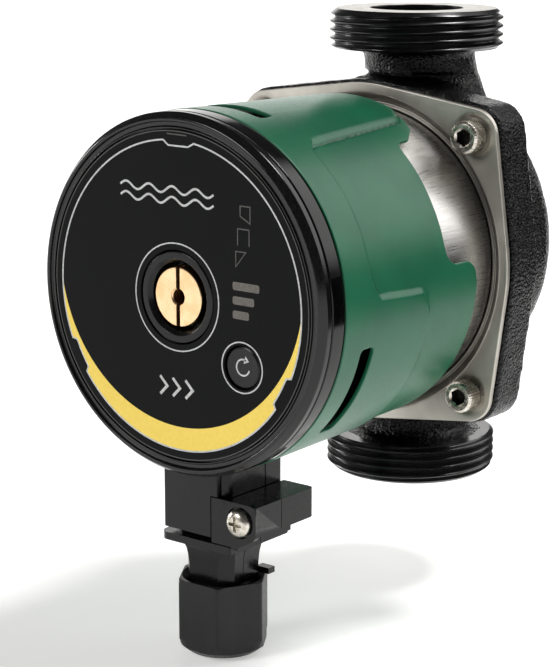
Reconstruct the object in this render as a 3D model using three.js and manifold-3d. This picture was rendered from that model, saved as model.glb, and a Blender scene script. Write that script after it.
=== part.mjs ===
// A wet-rotor heating circulator pump, built as an assembly of separate pieces.
// Millimetres. +Z runs up the pipe, the motor points along -Y, and the origin is where
// the pipe axis and the motor axis cross, inside the cast housing.

import * as THREE from "three";
import { mergeVertices } from "three/addons/utils/BufferGeometryUtils.js";
import Module from "manifold-3d";

const wasm = await Module();
wasm.setup();

// ---------------------------------------------------------------- driving dimensions

const GAP = 0.3;                  // clearance between pieces that touch
const CUT = 1;                    // how far a cutting tool runs past what it cuts

const PORT_FACE_Z = 65;           // half of the 130 mm port-to-port length
const THREAD_R = 23.9;            // G 1 1/2 male thread, outside radius
const THREAD_PITCH = 2.309;
const THREAD_DEPTH = 1.48;
const THREAD_FOOT_Z = 54.4;       // where the threaded collar ends
const BORE_R = 12.7;              // water passage at the port face

const CASTING_FRONT_Y = -22.3;
const CASTING_EAR_Y = -10;        // back of the bolting flange
const SHOULDER_Y = -16.4;         // ledge in the casting that the bearing plate sits on
const SCROLL_BACK_Y = 10;

const PLATE_FRONT_Y = -24;        // clamping plate
const PLATE_SHEET = 1.4;
const PLATE_R = 46.3;
const BOLT_OFFSET = 34.5;         // flange screws, off the motor axis in X and in Z
const EAR_R = 7.4;

const CAN_R = 40;                 // bright motor shell
const CAN_END_Y = -70.5;
const STATOR_R = 38.4;
const ROTOR_CAN_R = 21;           // thin separating can between stator and rotor
const ROTOR_CAN_END_Y = -68.9;
const CAN_WALL = 0.8;
const SHAFT_R = 3.2;

const COVER_FRONT_R = 45.4;       // green cover, which tapers a little to the rear
const COVER_REAR_R = 44.2;
const COVER_FRONT_Y = -92.7;
const COVER_REAR_Y = -33.5;
const COVER_INSIDE_R = 42.1;

const RIM_R = 45.3;               // black control head
const BAND_BACK_Y = -93;
const BAND_FRONT_Y = -97.8;
const FRONT_Y = -101.5;
const LABEL_R = 41.1;
const BUTTON_X = 20.6;
const BUTTON_Z = -14.6;
const BLEED_HEAD_R = 7.5;

const PLUG_Y = -84;               // axis of the power plug and its cable gland
const SOCKET_BOTTOM_Z = -61.7;
const NUT_R = 12.55;              // gland nut, over its corners
const NUT_TOP_Z = -75.7;
const NUT_END_Z = -95.5;

const FINE = 40;                  // segments round a large visible circle
const MEDIUM = 24;
const COARSE = 12;
const SMALL = 8;

const degrees = THREE.MathUtils.degToRad;

// ---------------------------------------------------------------- solids

// Turn a closed three.js geometry into a solid, whichever way its faces wind.
function solid(geometry) {
  geometry.deleteAttribute("normal");
  geometry.deleteAttribute("uv");
  const merged = mergeVertices(geometry, 1e-4);
  const place = merged.getAttribute("position");
  const corner = merged.getIndex().array;
  const a = new THREE.Vector3();
  const b = new THREE.Vector3();
  const c = new THREE.Vector3();
  const faces = [];
  let volume = 0;
  for (let i = 0; i < corner.length; i += 3) {
    const [p, q, r] = [corner[i], corner[i + 1], corner[i + 2]];
    if (p === q || q === r || r === p) continue;
    faces.push(p, q, r);
    a.fromBufferAttribute(place, p);
    b.fromBufferAttribute(place, q);
    c.fromBufferAttribute(place, r);
    volume += a.dot(b.cross(c));
  }
  if (volume < 0) faces.reverse();
  return new wasm.Manifold(new wasm.Mesh({
    numProp: 3,
    vertProperties: new Float32Array(place.array),
    triVerts: new Uint32Array(faces),
  }));
}

// Join a list of solids.
function join(...pieces) {
  return pieces.reduce((whole, piece) => whole.add(piece));
}

// Cut every tool out of a solid.
function cut(whole, ...tools) {
  return tools.reduce((rest, tool) => rest.subtract(tool), whole);
}

// Turn the local Y axis of a geometry onto the named axis.
function aim(geometry, axis) {
  if (axis === "z") geometry.rotateX(Math.PI / 2);
  if (axis === "x") geometry.rotateZ(-Math.PI / 2);
  return geometry;
}

// A turned solid from [radius, height] points that close on the axis or on themselves.
function turned(points, segments = MEDIUM, axis = "y") {
  const profile = points.map(([r, h]) => new THREE.Vector2(r, h));
  if (points[0][0] > 0) profile.push(profile[0].clone());
  return solid(aim(new THREE.LatheGeometry(profile, segments), axis));
}

// A ring between two radii and two heights.
function ring(inner, outer, from, to, segments = MEDIUM, axis = "y") {
  return turned([[inner, from], [outer, from], [outer, to], [inner, to]], segments, axis);
}

// A round bar along an axis, between two heights.
function rod(radius, from, to, centre = [0, 0, 0], segments = COARSE, axis = "y") {
  const geometry = new THREE.CylinderGeometry(radius, radius, to - from, segments);
  geometry.translate(0, (from + to) / 2, 0);
  return solid(aim(geometry, axis).translate(...centre));
}

// A rectangular block between two corners.
function block([x0, y0, z0], [x1, y1, z1]) {
  const geometry = new THREE.BoxGeometry(x1 - x0, y1 - y0, z1 - z0);
  return solid(geometry.translate((x0 + x1) / 2, (y0 + y1) / 2, (z0 + z1) / 2));
}

// An outline's curves as straight steps, with no two neighbouring points alike.
function stepped(shape, curveSegments) {
  const apart = (point, i, all) => point.distanceTo(all[(i + 1) % all.length]) > 0.001;
  const result = new THREE.Shape(shape.getPoints(curveSegments).filter(apart));
  result.holes = shape.holes.map((hole) => new THREE.Path(hole.getPoints(curveSegments).filter(apart)));
  return result;
}

// An outline drawn in X and Z, given thickness from one y to another.
function slab(shape, from, to, { bevel = 0, curveSegments = SMALL, bevelSegments = 2 } = {}) {
  const geometry = new THREE.ExtrudeGeometry(stepped(shape, curveSegments), {
    depth: to - from - 2 * bevel,
    bevelEnabled: bevel > 0,
    bevelThickness: bevel,
    bevelSize: bevel,
    bevelOffset: -bevel,
    bevelSegments,
  });
  return solid(geometry.rotateX(Math.PI / 2).translate(0, to - bevel, 0));
}

// An outline drawn in X and Y, given height from one z to another.
function column(shape, from, to, curveSegments = SMALL) {
  const options = { depth: to - from, bevelEnabled: false };
  return solid(new THREE.ExtrudeGeometry(stepped(shape, curveSegments), options).translate(0, 0, from));
}

// A tube with straight or bending sides along Z, from stations of
// { z, y, rx, ry }: height, centre in y, and half width in x and in y.
function duct(stations, segments = 20) {
  const steps = stations.length - 1;
  const geometry = new THREE.CylinderGeometry(1, 1, 1, segments, steps);
  const place = geometry.getAttribute("position");
  for (let i = 0; i < place.count; i += 1) {
    const station = stations[Math.round((0.5 - place.getY(i)) * steps)];
    place.setXYZ(
      i,
      place.getX(i) * station.rx,
      station.y + place.getZ(i) * station.ry,
      station.z,
    );
  }
  return solid(geometry);
}

// A rectangle with round corners, centred on a point.
function roundedRectangle(width, height, radius, x = 0, y = 0) {
  const shape = new THREE.Shape();
  const [right, top] = [width / 2 - radius, height / 2 - radius];
  shape.absarc(x + right, y + top, radius, 0, Math.PI / 2);
  shape.absarc(x - right, y + top, radius, Math.PI / 2, Math.PI);
  shape.absarc(x - right, y - top, radius, Math.PI, 1.5 * Math.PI);
  shape.absarc(x + right, y - top, radius, 1.5 * Math.PI, 2 * Math.PI);
  return shape;
}

// A piece of a flat ring between two angles in degrees.
function ringSector(inner, outer, from, to) {
  const shape = new THREE.Shape();
  shape.absarc(0, 0, outer, degrees(from), degrees(to));
  shape.absarc(0, 0, inner, degrees(to), degrees(from), true);
  return shape;
}

// A regular polygon over its corners, with its first corner at an angle in degrees.
function polygon(sides, radius, first = 0) {
  const points = Array.from({ length: sides }, (_, i) => {
    const angle = degrees(first + (i * 360) / sides);
    return new THREE.Vector2(radius * Math.cos(angle), radius * Math.sin(angle));
  });
  return new THREE.Shape(points);
}

// ---------------------------------------------------------------- the assembly

const pump = new THREE.Group();
pump.name = "circulator_pump";

function add(name, shape, color, roughness, metalness) {
  const { vertProperties, triVerts } = shape.getMesh();
  const geometry = new THREE.BufferGeometry();
  geometry.setAttribute("position", new THREE.BufferAttribute(vertProperties, 3));
  geometry.setIndex(new THREE.BufferAttribute(triVerts, 1));
  geometry.computeVertexNormals();
  const material = new THREE.MeshStandardMaterial({ color, roughness, metalness });
  const mesh = new THREE.Mesh(geometry, material);
  mesh.name = name;
  pump.add(mesh);
}

const CAST_IRON = [0x1b1b1c, 0.75, 0.5];
const STEEL = [0xa8a6a0, 0.35, 0.9];
const BRIGHT_STEEL = [0xd8d8d8, 0.25, 1.0];
const BRASS = [0xd9b25a, 0.3, 1.0];
const COPPER = [0xb5673a, 0.4, 1.0];
const RUBBER = [0x161616, 0.9, 0.0];
const BLACK_PLASTIC = [0x37373a, 0.4, 0.0];
const GLOSS_BLACK = [0x151516, 0.15, 0.0];
const GREEN_PLASTIC = [0x2d7355, 0.5, 0.0];
const BOARD_GREEN = [0x1f5a33, 0.6, 0.0];
const CARBON = [0x2b2b2b, 0.5, 0.2];

// ---------------------------------------------------------------- cast housing

const ROUGH_CURVES = { curveSegments: 5 };

// The four ears round a disc: the outline of the clamping plate and of the flange behind it.
function flangeOutline(margin) {
  const disc = PLATE_R + margin;
  const ear = EAR_R + margin;
  const reach = BOLT_OFFSET * Math.SQRT2;
  // The straight sides touch both circles, so they lean by this much from the diagonal.
  const lean = Math.acos((disc - ear) / reach);
  const shape = new THREE.Shape();
  for (let corner = 0; corner < 4; corner += 1) {
    const diagonal = Math.PI / 4 + (corner * Math.PI) / 2;
    const x = reach * Math.cos(diagonal);
    const z = reach * Math.sin(diagonal);
    shape.absarc(x, z, ear, diagonal - lean, diagonal + lean);
    shape.absarc(0, 0, disc, diagonal + lean, diagonal + Math.PI / 2 - lean);
  }
  return shape;
}

// The scroll round the impeller: it widens steadily on its way round to the upper port.
const TONGUE_ANGLE = -250;
const OUTLET_ANGLE = 100;
const SCROLL_R_AT_SIDE = 43.4;
const SCROLL_GROWTH = 0.05;       // millimetres of radius for each degree

// How far the outer wall is from the motor axis, at an angle in degrees.
function scrollRadius(angle) {
  const sweep = OUTLET_ANGLE - TONGUE_ANGLE;
  const turn = THREE.MathUtils.euclideanModulo(angle - TONGUE_ANGLE, 360);
  const smallest = SCROLL_R_AT_SIDE + SCROLL_GROWTH * TONGUE_ANGLE;
  const wound = turn <= sweep ? turn : (sweep * (360 - turn)) / (360 - sweep);
  return smallest + SCROLL_GROWTH * wound;
}

// A solid with the scroll's outline, from levels of { y, inset } along the motor axis.
function scroll(levels, segments = 32) {
  const steps = levels.length - 1;
  const geometry = new THREE.CylinderGeometry(1, 1, 1, segments, steps);
  const place = geometry.getAttribute("position");
  for (let i = 0; i < place.count; i += 1) {
    const { y, inset } = levels[Math.round((0.5 - place.getY(i)) * steps)];
    const [x, z] = [place.getX(i), place.getZ(i)];
    const radius = scrollRadius(THREE.MathUtils.radToDeg(Math.atan2(z, x))) - inset;
    place.setXYZ(i, x * radius, y, z * radius);
  }
  return solid(geometry);
}

// One threaded collar, drawn for the upper port; side is +1 for the upper and -1 for the lower.
function threadedCollar(side) {
  const root = THREAD_R - THREAD_DEPTH;
  const points = [[0, PORT_FACE_Z], [THREAD_R - 2, PORT_FACE_Z], [root, PORT_FACE_Z - 0.6]];
  const crests = 4;
  for (let i = 0; i < crests; i += 1) {
    const crest = PORT_FACE_Z - 1.7 - i * THREAD_PITCH;
    points.push([THREAD_R, crest]);
    points.push([root, crest - THREAD_PITCH / 2]);
  }
  points.push([THREAD_R - 0.7, THREAD_FOOT_Z], [15, THREAD_FOOT_Z - 3], [0, THREAD_FOOT_Z - 3]);
  return turned(points.map(([r, z]) => [r, z * side]), 32, "z");
}

const UPPER_NECK = [
  { z: 52.5, y: 3, rx: 14.7, ry: 14.7 },
  { z: 47, y: 4, rx: 15.2, ry: 15.2 },
  { z: 42.5, y: 4.5, rx: 16.8, ry: 15.5 },
  { z: 38, y: 3.5, rx: 19, ry: 15 },
  { z: 28, y: 0, rx: 25, ry: 12 },
];
const UPPER_WATERWAY = [
  { z: PORT_FACE_Z + CUT, y: 0, rx: BORE_R, ry: BORE_R },
  { z: 57, y: 0.8, rx: 12.2, ry: 12.2 },
  { z: 52, y: 2.5, rx: 11.3, ry: 11.3 },
  { z: 45, y: 2, rx: 11, ry: 10 },
  { z: 36, y: -5, rx: 8, ry: 5 },
];
const LOWER_NECK = [
  { z: 18, y: 7, rx: 6, ry: 4.5 },
  { z: 13, y: 8.5, rx: 13, ry: 9.5 },
  { z: 0, y: 9.5, rx: 16.5, ry: 12 },
  { z: -30, y: 8, rx: 17, ry: 13 },
  { z: -46, y: 4, rx: 15.6, ry: 15.2 },
  { z: -52.5, y: 3, rx: 14.8, ry: 14.8 },
];
const LOWER_WATERWAY = [
  { z: 9, y: 9.5, rx: 8.5, ry: 4.5 },
  { z: 0, y: 10.5, rx: 11.5, ry: 7 },
  { z: -25, y: 8.5, rx: 12, ry: 8.5 },
  { z: -42, y: 4, rx: 11.5, ry: 10.5 },
  { z: -52, y: 2.5, rx: 11.3, ry: 11.3 },
  { z: -57, y: 0.8, rx: 12.2, ry: 12.2 },
  { z: -PORT_FACE_Z - CUT, y: 0, rx: BORE_R, ry: BORE_R },
];

const boltCentres = [[1, 1], [-1, 1], [-1, -1], [1, -1]].map(
  ([x, z]) => [x * BOLT_OFFSET, 0, z * BOLT_OFFSET],
);
const EYE_R = 10.5;               // suction opening in the back wall of the scroll
const CHAMBER_R = 29;
const SCROLL_WALL = 4.5;
const SCROLL_OUTSIDE = [
  { y: -18, inset: 0 },
  { y: -1, inset: 0 },
  { y: 4.5, inset: 1.6 },
  { y: 8, inset: 4.5 },
  { y: SCROLL_BACK_Y, inset: 9 },
];
const SCROLL_INSIDE = [
  { y: -12.5, inset: SCROLL_WALL },
  { y: -4, inset: SCROLL_WALL },
  { y: -1, inset: SCROLL_WALL + 3 },
];

function voluteHousing() {
  const outside = join(
    slab(flangeOutline(0.8), CASTING_FRONT_Y, CASTING_EAR_Y, { bevel: 1, bevelSegments: 1, ...ROUGH_CURVES }),
    scroll(SCROLL_OUTSIDE),
    duct(UPPER_NECK),
    duct(LOWER_NECK),
    threadedCollar(1),
    threadedCollar(-1),
  );
  return cut(
    outside,
    rod(45.2, CASTING_FRONT_Y - CUT, -20.5, [0, 0, 0], FINE),
    rod(44, -21, SHOULDER_Y, [0, 0, 0], FINE),
    ring(39.8, 42.2, SHOULDER_Y - CUT, -14.3, MEDIUM),
    rod(CHAMBER_R, SHOULDER_Y - CUT, -12, [0, 0, 0], MEDIUM),
    scroll(SCROLL_INSIDE),
    rod(EYE_R, -3, 9, [0, 0, 0], COARSE),
    duct(UPPER_WATERWAY),
    duct(LOWER_WATERWAY),
    ...boltCentres.map((centre) => rod(2.6, CASTING_FRONT_Y - CUT, -11.8, centre, SMALL)),
  );
}
add("volute_housing", voluteHousing(), ...CAST_IRON);

add("wear_ring", ring(8.6, EYE_R - GAP, -4.5, 1, COARSE), ...BRIGHT_STEEL);

// A round seal in its groove, drawn as a turned ring of six-sided section.
function roundSeal(radius, thickness, y, segments) {
  const points = Array.from({ length: 6 }, (_, i) => {
    const angle = degrees(i * 60);
    return [radius + (thickness / 2) * Math.cos(angle), y + (thickness / 2) * Math.sin(angle)];
  });
  return turned(points, segments);
}
add("housing_seal", roundSeal(41, 1.7, -15.4, MEDIUM), ...RUBBER);

// ---------------------------------------------------------------- clamping plate and its screws

function flangePlate() {
  const sheet = slab(flangeOutline(0), PLATE_FRONT_Y, PLATE_FRONT_Y + PLATE_SHEET, ROUGH_CURVES);
  // The middle is pressed back one step, and its edge is rolled over.
  const step = turned([
    [CAN_R + GAP, -20.8],
    [44.9, -20.8],
    [44.9, PLATE_FRONT_Y],
    [44.6, PLATE_FRONT_Y],
    [43.6, -23.4],
    [43.2, -22.2],
    [CAN_R + GAP, -22.2],
  ], FINE);
  return cut(
    join(cut(sheet, rod(44.7, PLATE_FRONT_Y - CUT, -20, [0, 0, 0], FINE)), step),
    ...boltCentres.map((centre) => rod(2.8, PLATE_FRONT_Y - CUT, -20, centre, SMALL)),
  );
}
add("flange_plate", flangePlate(), ...STEEL);

// A socket cap screw along Y with its head towards the front.
function capScrew([x, , z]) {
  const seat = PLATE_FRONT_Y - GAP;
  const top = seat - 4.1;
  const head = turned([[0, top], [3.9, top], [4.25, top + 0.4], [4.25, seat], [0, seat]], COARSE);
  const shank = rod(2.3, seat - 0.5, -13, [0, 0, 0], SMALL);
  const socket = slab(polygon(6, 2.31, 90), top - CUT, top + 2.6);
  return cut(join(head, shank), socket).translate([x, 0, z]);
}
boltCentres.forEach((centre, i) => {
  add(`flange_screw_${i + 1}`, capScrew(centre), ...STEEL);
});

// ---------------------------------------------------------------- wet end and rotor

const BEARING_R = 6.1;
const BEARING_BORE_R = SHAFT_R + GAP;

function bearingPlate() {
  const disc = ring(BEARING_R + GAP, 43.6, -18, SHOULDER_Y - GAP, MEDIUM);
  const hub = ring(BEARING_R + GAP, 9, -24, -15.6, COARSE);
  return join(disc, hub);
}
add("bearing_plate", bearingPlate(), ...BRIGHT_STEEL);
add("front_bearing", ring(BEARING_BORE_R, BEARING_R, -23.8, -15.8, COARSE), ...CARBON);
add("rear_bearing", ring(BEARING_BORE_R, BEARING_R, -67, -61, COARSE), ...CARBON);

function rearBearingHolder() {
  const seat = ring(BEARING_R + GAP, 9, -67.5, -61, COARSE);
  const web = ring(8, ROTOR_CAN_R - CAN_WALL - GAP, -66, -64.5, MEDIUM);
  return join(seat, web);
}
add("rear_bearing_holder", rearBearingHolder(), ...BRIGHT_STEEL);

// The thin can keeps the water away from the windings. Its neck takes the bleed plug.
const NECK_R = 8.2;
const NECK_BORE_R = 5.9;
const NECK_END_Y = -89.5;

function rotorCan() {
  return turned([
    [ROTOR_CAN_R - CAN_WALL, -18.3],
    [43.4, -18.3],
    [43.4, -18.3 - CAN_WALL],
    [ROTOR_CAN_R, -18.3 - CAN_WALL],
    [ROTOR_CAN_R, ROTOR_CAN_END_Y],
    [NECK_R, ROTOR_CAN_END_Y],
    [NECK_R, NECK_END_Y],
    [NECK_BORE_R, NECK_END_Y],
    [NECK_BORE_R, ROTOR_CAN_END_Y + CAN_WALL],
    [ROTOR_CAN_R - CAN_WALL, ROTOR_CAN_END_Y + CAN_WALL],
  ], MEDIUM);
}
add("rotor_can", rotorCan(), ...BRIGHT_STEEL);

add("rotor_shaft", rod(SHAFT_R, -67.6, -8, [0, 0, 0], COARSE), ...BRIGHT_STEEL);
add("thrust_ring", ring(BEARING_BORE_R, 8, -26.2, -24.5, COARSE), ...CARBON);
add("rotor_magnet", ring(BEARING_BORE_R, 17.9, -57, -26.6, MEDIUM), ...CARBON);
add("rotor_sleeve", ring(18.2, 19.2, -57.4, -26.2, MEDIUM), ...BRIGHT_STEEL);

// A closed impeller: two shrouds, a suction collar and backward-curved blades.
const IMPELLER_R = 25;
const BLADES = 6;

function impellerBlade(index) {
  const bend = 40;
  const thickness = 1.4;
  const inside = { r: 8.6, angle: degrees((index * 360) / BLADES) };
  const outside = { r: IMPELLER_R - 0.2, angle: inside.angle - degrees(bend) };
  const at = ({ r, angle }) => new THREE.Vector2(r * Math.cos(angle), r * Math.sin(angle));
  const halfway = at({ r: 17.5, angle: inside.angle - degrees(bend * 0.25) });
  const curve = new THREE.QuadraticBezierCurve(at(inside), halfway, at(outside));
  const line = curve.getPoints(4);
  const side = (offset) => line.map((point, i) => {
    const along = curve.getTangent(i / 4);
    return new THREE.Vector2(point.x - along.y * offset, point.y + along.x * offset);
  });
  const points = [...side(thickness / 2), ...side(-thickness / 2).reverse()];
  return slab(new THREE.Shape(points), -12.8, -7);
}

function impeller() {
  const backShroud = ring(SHAFT_R + GAP, IMPELLER_R, -14.2, -12.6);
  const hub = ring(SHAFT_R + GAP, 6, -13, -8.5, COARSE);
  const frontShroud = ring(7, IMPELLER_R, -7.2, -5.8);
  const collar = ring(7, 8.1, -7, -2, COARSE);
  const blades = Array.from({ length: BLADES }, (_, i) => impellerBlade(i));
  return join(backShroud, hub, frontShroud, collar, ...blades);
}
add("impeller", impeller(), ...BLACK_PLASTIC);

// ---------------------------------------------------------------- stator and motor shell

const STATOR_BACK_Y = -30;
const STATOR_FRONT_Y = -58;
const TEETH = 6;
const TOOTH_WIDTH = 7;

function statorCore() {
  const bore = ROTOR_CAN_R + 0.4;
  const yoke = ring(31.6, STATOR_R, STATOR_FRONT_Y, STATOR_BACK_Y, 36);
  const tipRing = ring(bore, 23.2, STATOR_FRONT_Y, STATOR_BACK_Y, 36);
  const toothAt = (angle, inner, outer, width) => block(
    [inner, STATOR_FRONT_Y, -width / 2],
    [outer, STATOR_BACK_Y, width / 2],
  ).rotate([0, -angle, 0]);
  const pitch = 360 / TEETH;
  const teeth = Array.from({ length: TEETH }, (_, i) => toothAt(i * pitch, 22, 32.4, TOOTH_WIDTH));
  const slots = Array.from({ length: TEETH }, (_, i) => block(
    [20, STATOR_FRONT_Y - CUT, -2],
    [26, STATOR_BACK_Y + CUT, 2],
  ).rotate([0, -(i + 0.5) * pitch, 0]));
  return cut(join(yoke, tipRing, ...teeth), ...slots);
}
add("stator_core", statorCore(), ...STEEL);

// A winding round one tooth, lying in the plane across that tooth.
function statorCoil(index) {
  const shape = roundedRectangle(15, 36, 3.5);
  shape.holes.push(roundedRectangle(TOOTH_WIDTH + 2 * GAP, STATOR_BACK_Y - STATOR_FRONT_Y + 2 * GAP, 0.6));
  const options = { depth: 5.8, bevelEnabled: false };
  const geometry = new THREE.ExtrudeGeometry(stepped(shape, 2), options);
  geometry.translate(0, (STATOR_FRONT_Y + STATOR_BACK_Y) / 2, 24.1);
  geometry.rotateY(Math.PI / 2 - degrees((index * 360) / TEETH));
  return solid(geometry);
}
for (let i = 0; i < TEETH; i += 1) {
  add(`stator_coil_${i + 1}`, statorCoil(i), ...COPPER);
}

// The bright shell: a cup with an outward foot that the clamping plate holds down.
function motorShell() {
  return turned([
    [CAN_R - 1.2, -19.4],
    [43.5, -19.4],
    [43.5, -20.5],
    [CAN_R, -20.5],
    [CAN_R, CAN_END_Y],
    [NECK_R + 0.4, CAN_END_Y],
    [NECK_R + 0.4, CAN_END_Y + 1.2],
    [CAN_R - 1.2, CAN_END_Y + 1.2],
  ], FINE);
}
add("motor_shell", motorShell(), ...BRIGHT_STEEL);

// ---------------------------------------------------------------- green cover

const PANEL_FRONT_Y = -82;
const NOTCH_FRONT_Y = -48;
const VENT_CENTRES = [-30, 90, 210];

function motorCover() {
  const shell = turned([
    [COVER_INSIDE_R, COVER_REAR_Y],
    [COVER_REAR_R - 0.4, COVER_REAR_Y],
    [COVER_REAR_R, COVER_REAR_Y - 0.5],
    [COVER_FRONT_R, COVER_FRONT_Y + 0.5],
    [COVER_FRONT_R - 0.4, COVER_FRONT_Y],
    [COVER_INSIDE_R + 0.7, COVER_FRONT_Y],
    [COVER_INSIDE_R + 0.7, -70],
    [COVER_INSIDE_R, -69],
  ], FINE);
  const sides = [0, 1];
  const mirrored = (from, to, side) => (side ? [180 - to, 180 - from] : [from, to]);
  // A shallow panel on each side, and a wide notch behind it that shows the motor shell.
  const panels = sides.map((side) => slab(
    ringSector(43.9, 50, ...mirrored(2, 58, side)),
    PANEL_FRONT_Y,
    COVER_REAR_Y - 3,
  ));
  const notches = sides.map((side) => slab(
    ringSector(38, 50, ...mirrored(7, 52, side)),
    NOTCH_FRONT_Y,
    COVER_REAR_Y + CUT,
  ));
  const vents = VENT_CENTRES.map((angle) => slab(
    ringSector(38, 50, angle - 16.5, angle + 16.5),
    -84.3,
    -79.3,
  ));
  const wireHole = block([-7.4, -90.4, -50], [7.4, -75.6, -38]);
  return cut(shell, ...panels, ...notches, ...vents, wireHole);
}
add("motor_cover", motorCover(), ...GREEN_PLASTIC);

// ---------------------------------------------------------------- control head

// A cup with a wide band at its mouth. The neck of the rotor can passes through its floor.
function controlBase() {
  const cup = turned([
    [NECK_R + 0.4, -72.4],
    [NECK_R + 0.4, -71],
    [42.4, -71],
    [42.4, BAND_BACK_Y],
    [RIM_R - 0.3, BAND_BACK_Y],
    [RIM_R, BAND_BACK_Y - 0.4],
    [RIM_R, BAND_FRONT_Y],
    [40.9, BAND_FRONT_Y],
    [40.9, -72.4],
  ], FINE);
  const wireHole = block([-6, -89, -44], [6, -77, -38]);
  return cut(cup, wireHole);
}
add("control_base", controlBase(), ...GLOSS_BLACK);

const COLLAR_R = 11.5;
const BAR_LENGTHS = [8.2, 6.6, 5];
const BAR_LEFT_X = 17.8;
const BAR_TOP_Z = 5.2;
const BAR_PITCH = 3.5;

// The three light bars are left-aligned, and each one is shorter than the one above it.
function lightBars(from, to, margin) {
  return BAR_LENGTHS.map((length, i) => block(
    [BAR_LEFT_X - margin, from, BAR_TOP_Z - i * BAR_PITCH - 1 - margin],
    [BAR_LEFT_X + length + margin, to, BAR_TOP_Z - i * BAR_PITCH + 1 + margin],
  ));
}

function frontCover() {
  const cap = turned([
    [38.6, -95],
    [40.6, -95],
    [40.6, -98.1],
    [RIM_R, -98.1],
    [RIM_R, -99.9],
    [44.9, -100.8],
    [43.9, FRONT_Y],
    [LABEL_R + GAP, FRONT_Y],
    [LABEL_R + GAP, -100.2],
    [COLLAR_R + GAP, -100.2],
    [COLLAR_R + GAP, -98.4],
    [38.6, -98.4],
  ], FINE);
  const buttonHole = rod(5.7, -102, -97, [BUTTON_X, 0, BUTTON_Z], COARSE);
  return cut(cap, buttonHole, ...lightBars(-102, -97, 0.4));
}
add("front_cover", frontCover(), ...GLOSS_BLACK);

function frontLabel() {
  const foil = ring(COLLAR_R + GAP, LABEL_R, -101.1, -100.5, FINE);
  return cut(foil, rod(5.6, -102, -99, [BUTTON_X, 0, BUTTON_Z], COARSE));
}
add("front_label", frontLabel(), 0x2d2e2e, 0.35, 0);

function lightGuide() {
  return join(block([16.8, -98.1, -4.2], [27, -97, 7.6]), ...lightBars(-100.1, -97.5, 0));
}
add("light_guide", lightGuide(), 0x6a655f, 0.3, 0);

BAR_LENGTHS.forEach((length, i) => {
  const z = BAR_TOP_Z - i * BAR_PITCH;
  add(`led_${i + 1}`, block([19, -88.4, z - 1], [22.5, -86.9, z + 1]), 0xe8e4d0, 0.4, 0);
});

// A push button with a stem that reaches the switch on the board.
const BUTTON_STEM_Y = -92.3;

function modeButton() {
  return turned([
    [0, -100.8],
    [4.8, -100.8],
    [5.2, -100.4],
    [5.2, -98],
    [6.6, -98],
    [6.6, -97],
    [2.5, -97],
    [2.5, BUTTON_STEM_Y],
    [0, BUTTON_STEM_Y],
  ], COARSE).translate([BUTTON_X, 0, BUTTON_Z]);
}
add("mode_button", modeButton(), ...BLACK_PLASTIC);

function buttonSwitch() {
  const body = block([BUTTON_X - 3, -90.4, BUTTON_Z - 3], [BUTTON_X + 3, -86.9, BUTTON_Z + 3]);
  return join(body, rod(1.6, -91.2, -90, [BUTTON_X, 0, BUTTON_Z], SMALL));
}
add("button_switch", buttonSwitch(), ...BLACK_PLASTIC);

function circuitBoard() {
  const board = ring(13, 39.4, -86.6, -85, MEDIUM);
  return cut(board, block([-12, -90, -45], [12, -80, -34]));
}
add("circuit_board", circuitBoard(), ...BOARD_GREEN);

add("capacitor", rod(6.5, -84.7, -73.2, [-24, 0, 14], COARSE), ...GLOSS_BLACK);
add("choke", ring(4, 9, -84.7, -78, COARSE).translate([22, 0, 20]), ...COPPER);
add("power_module", block([-31, -84.7, -16], [-13, -79.5, -6]), ...CARBON);
add("heat_spreader", block([-32, -79.2, -17], [-12, -73, -5]), ...STEEL);

// ---------------------------------------------------------------- bleed plug

add("plug_collar", ring(8.6, COLLAR_R, -100.8, -91, MEDIUM), ...GLOSS_BLACK);

const BLEED_FACE_Y = -100.6;
const BLEED_SEAT_Y = -91.5;

function bleedPlug() {
  const body = turned([
    [0, BLEED_FACE_Y],
    [BLEED_HEAD_R - 0.4, BLEED_FACE_Y],
    [BLEED_HEAD_R, BLEED_FACE_Y + 0.4],
    [BLEED_HEAD_R, BLEED_SEAT_Y],
    [NECK_BORE_R - GAP, BLEED_SEAT_Y],
    [NECK_BORE_R - GAP, -79],
    [0, -79],
  ], MEDIUM);
  const slot = block([-0.95, BLEED_FACE_Y - CUT, -9], [0.95, BLEED_FACE_Y + 2.6, 9]);
  const well = rod(2, BLEED_FACE_Y - CUT, BLEED_FACE_Y + 4.5, [0, 0, 0], SMALL);
  return cut(body, slot, well);
}
add("bleed_plug", bleedPlug(), ...BRASS);
add("bleed_seal", ring(NECK_BORE_R, 7.8, BLEED_SEAT_Y + GAP, NECK_END_Y - GAP, COARSE), ...RUBBER);

// ---------------------------------------------------------------- power socket

const PIN_SPACING = 4.6;
const pinCentres = [-PIN_SPACING, 0, PIN_SPACING];
const SOCKET_HALF_X = 10;
const SOCKET_FRONT_Y = -95.8;
const SOCKET_BACK_Y = -72;
const NOSE_HALF_X = 7.2;
const NOSE_FRONT_Y = -92;
const NOSE_BACK_Y = -75.6;
const NOSE_TOP_Z = -49.5;

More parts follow.
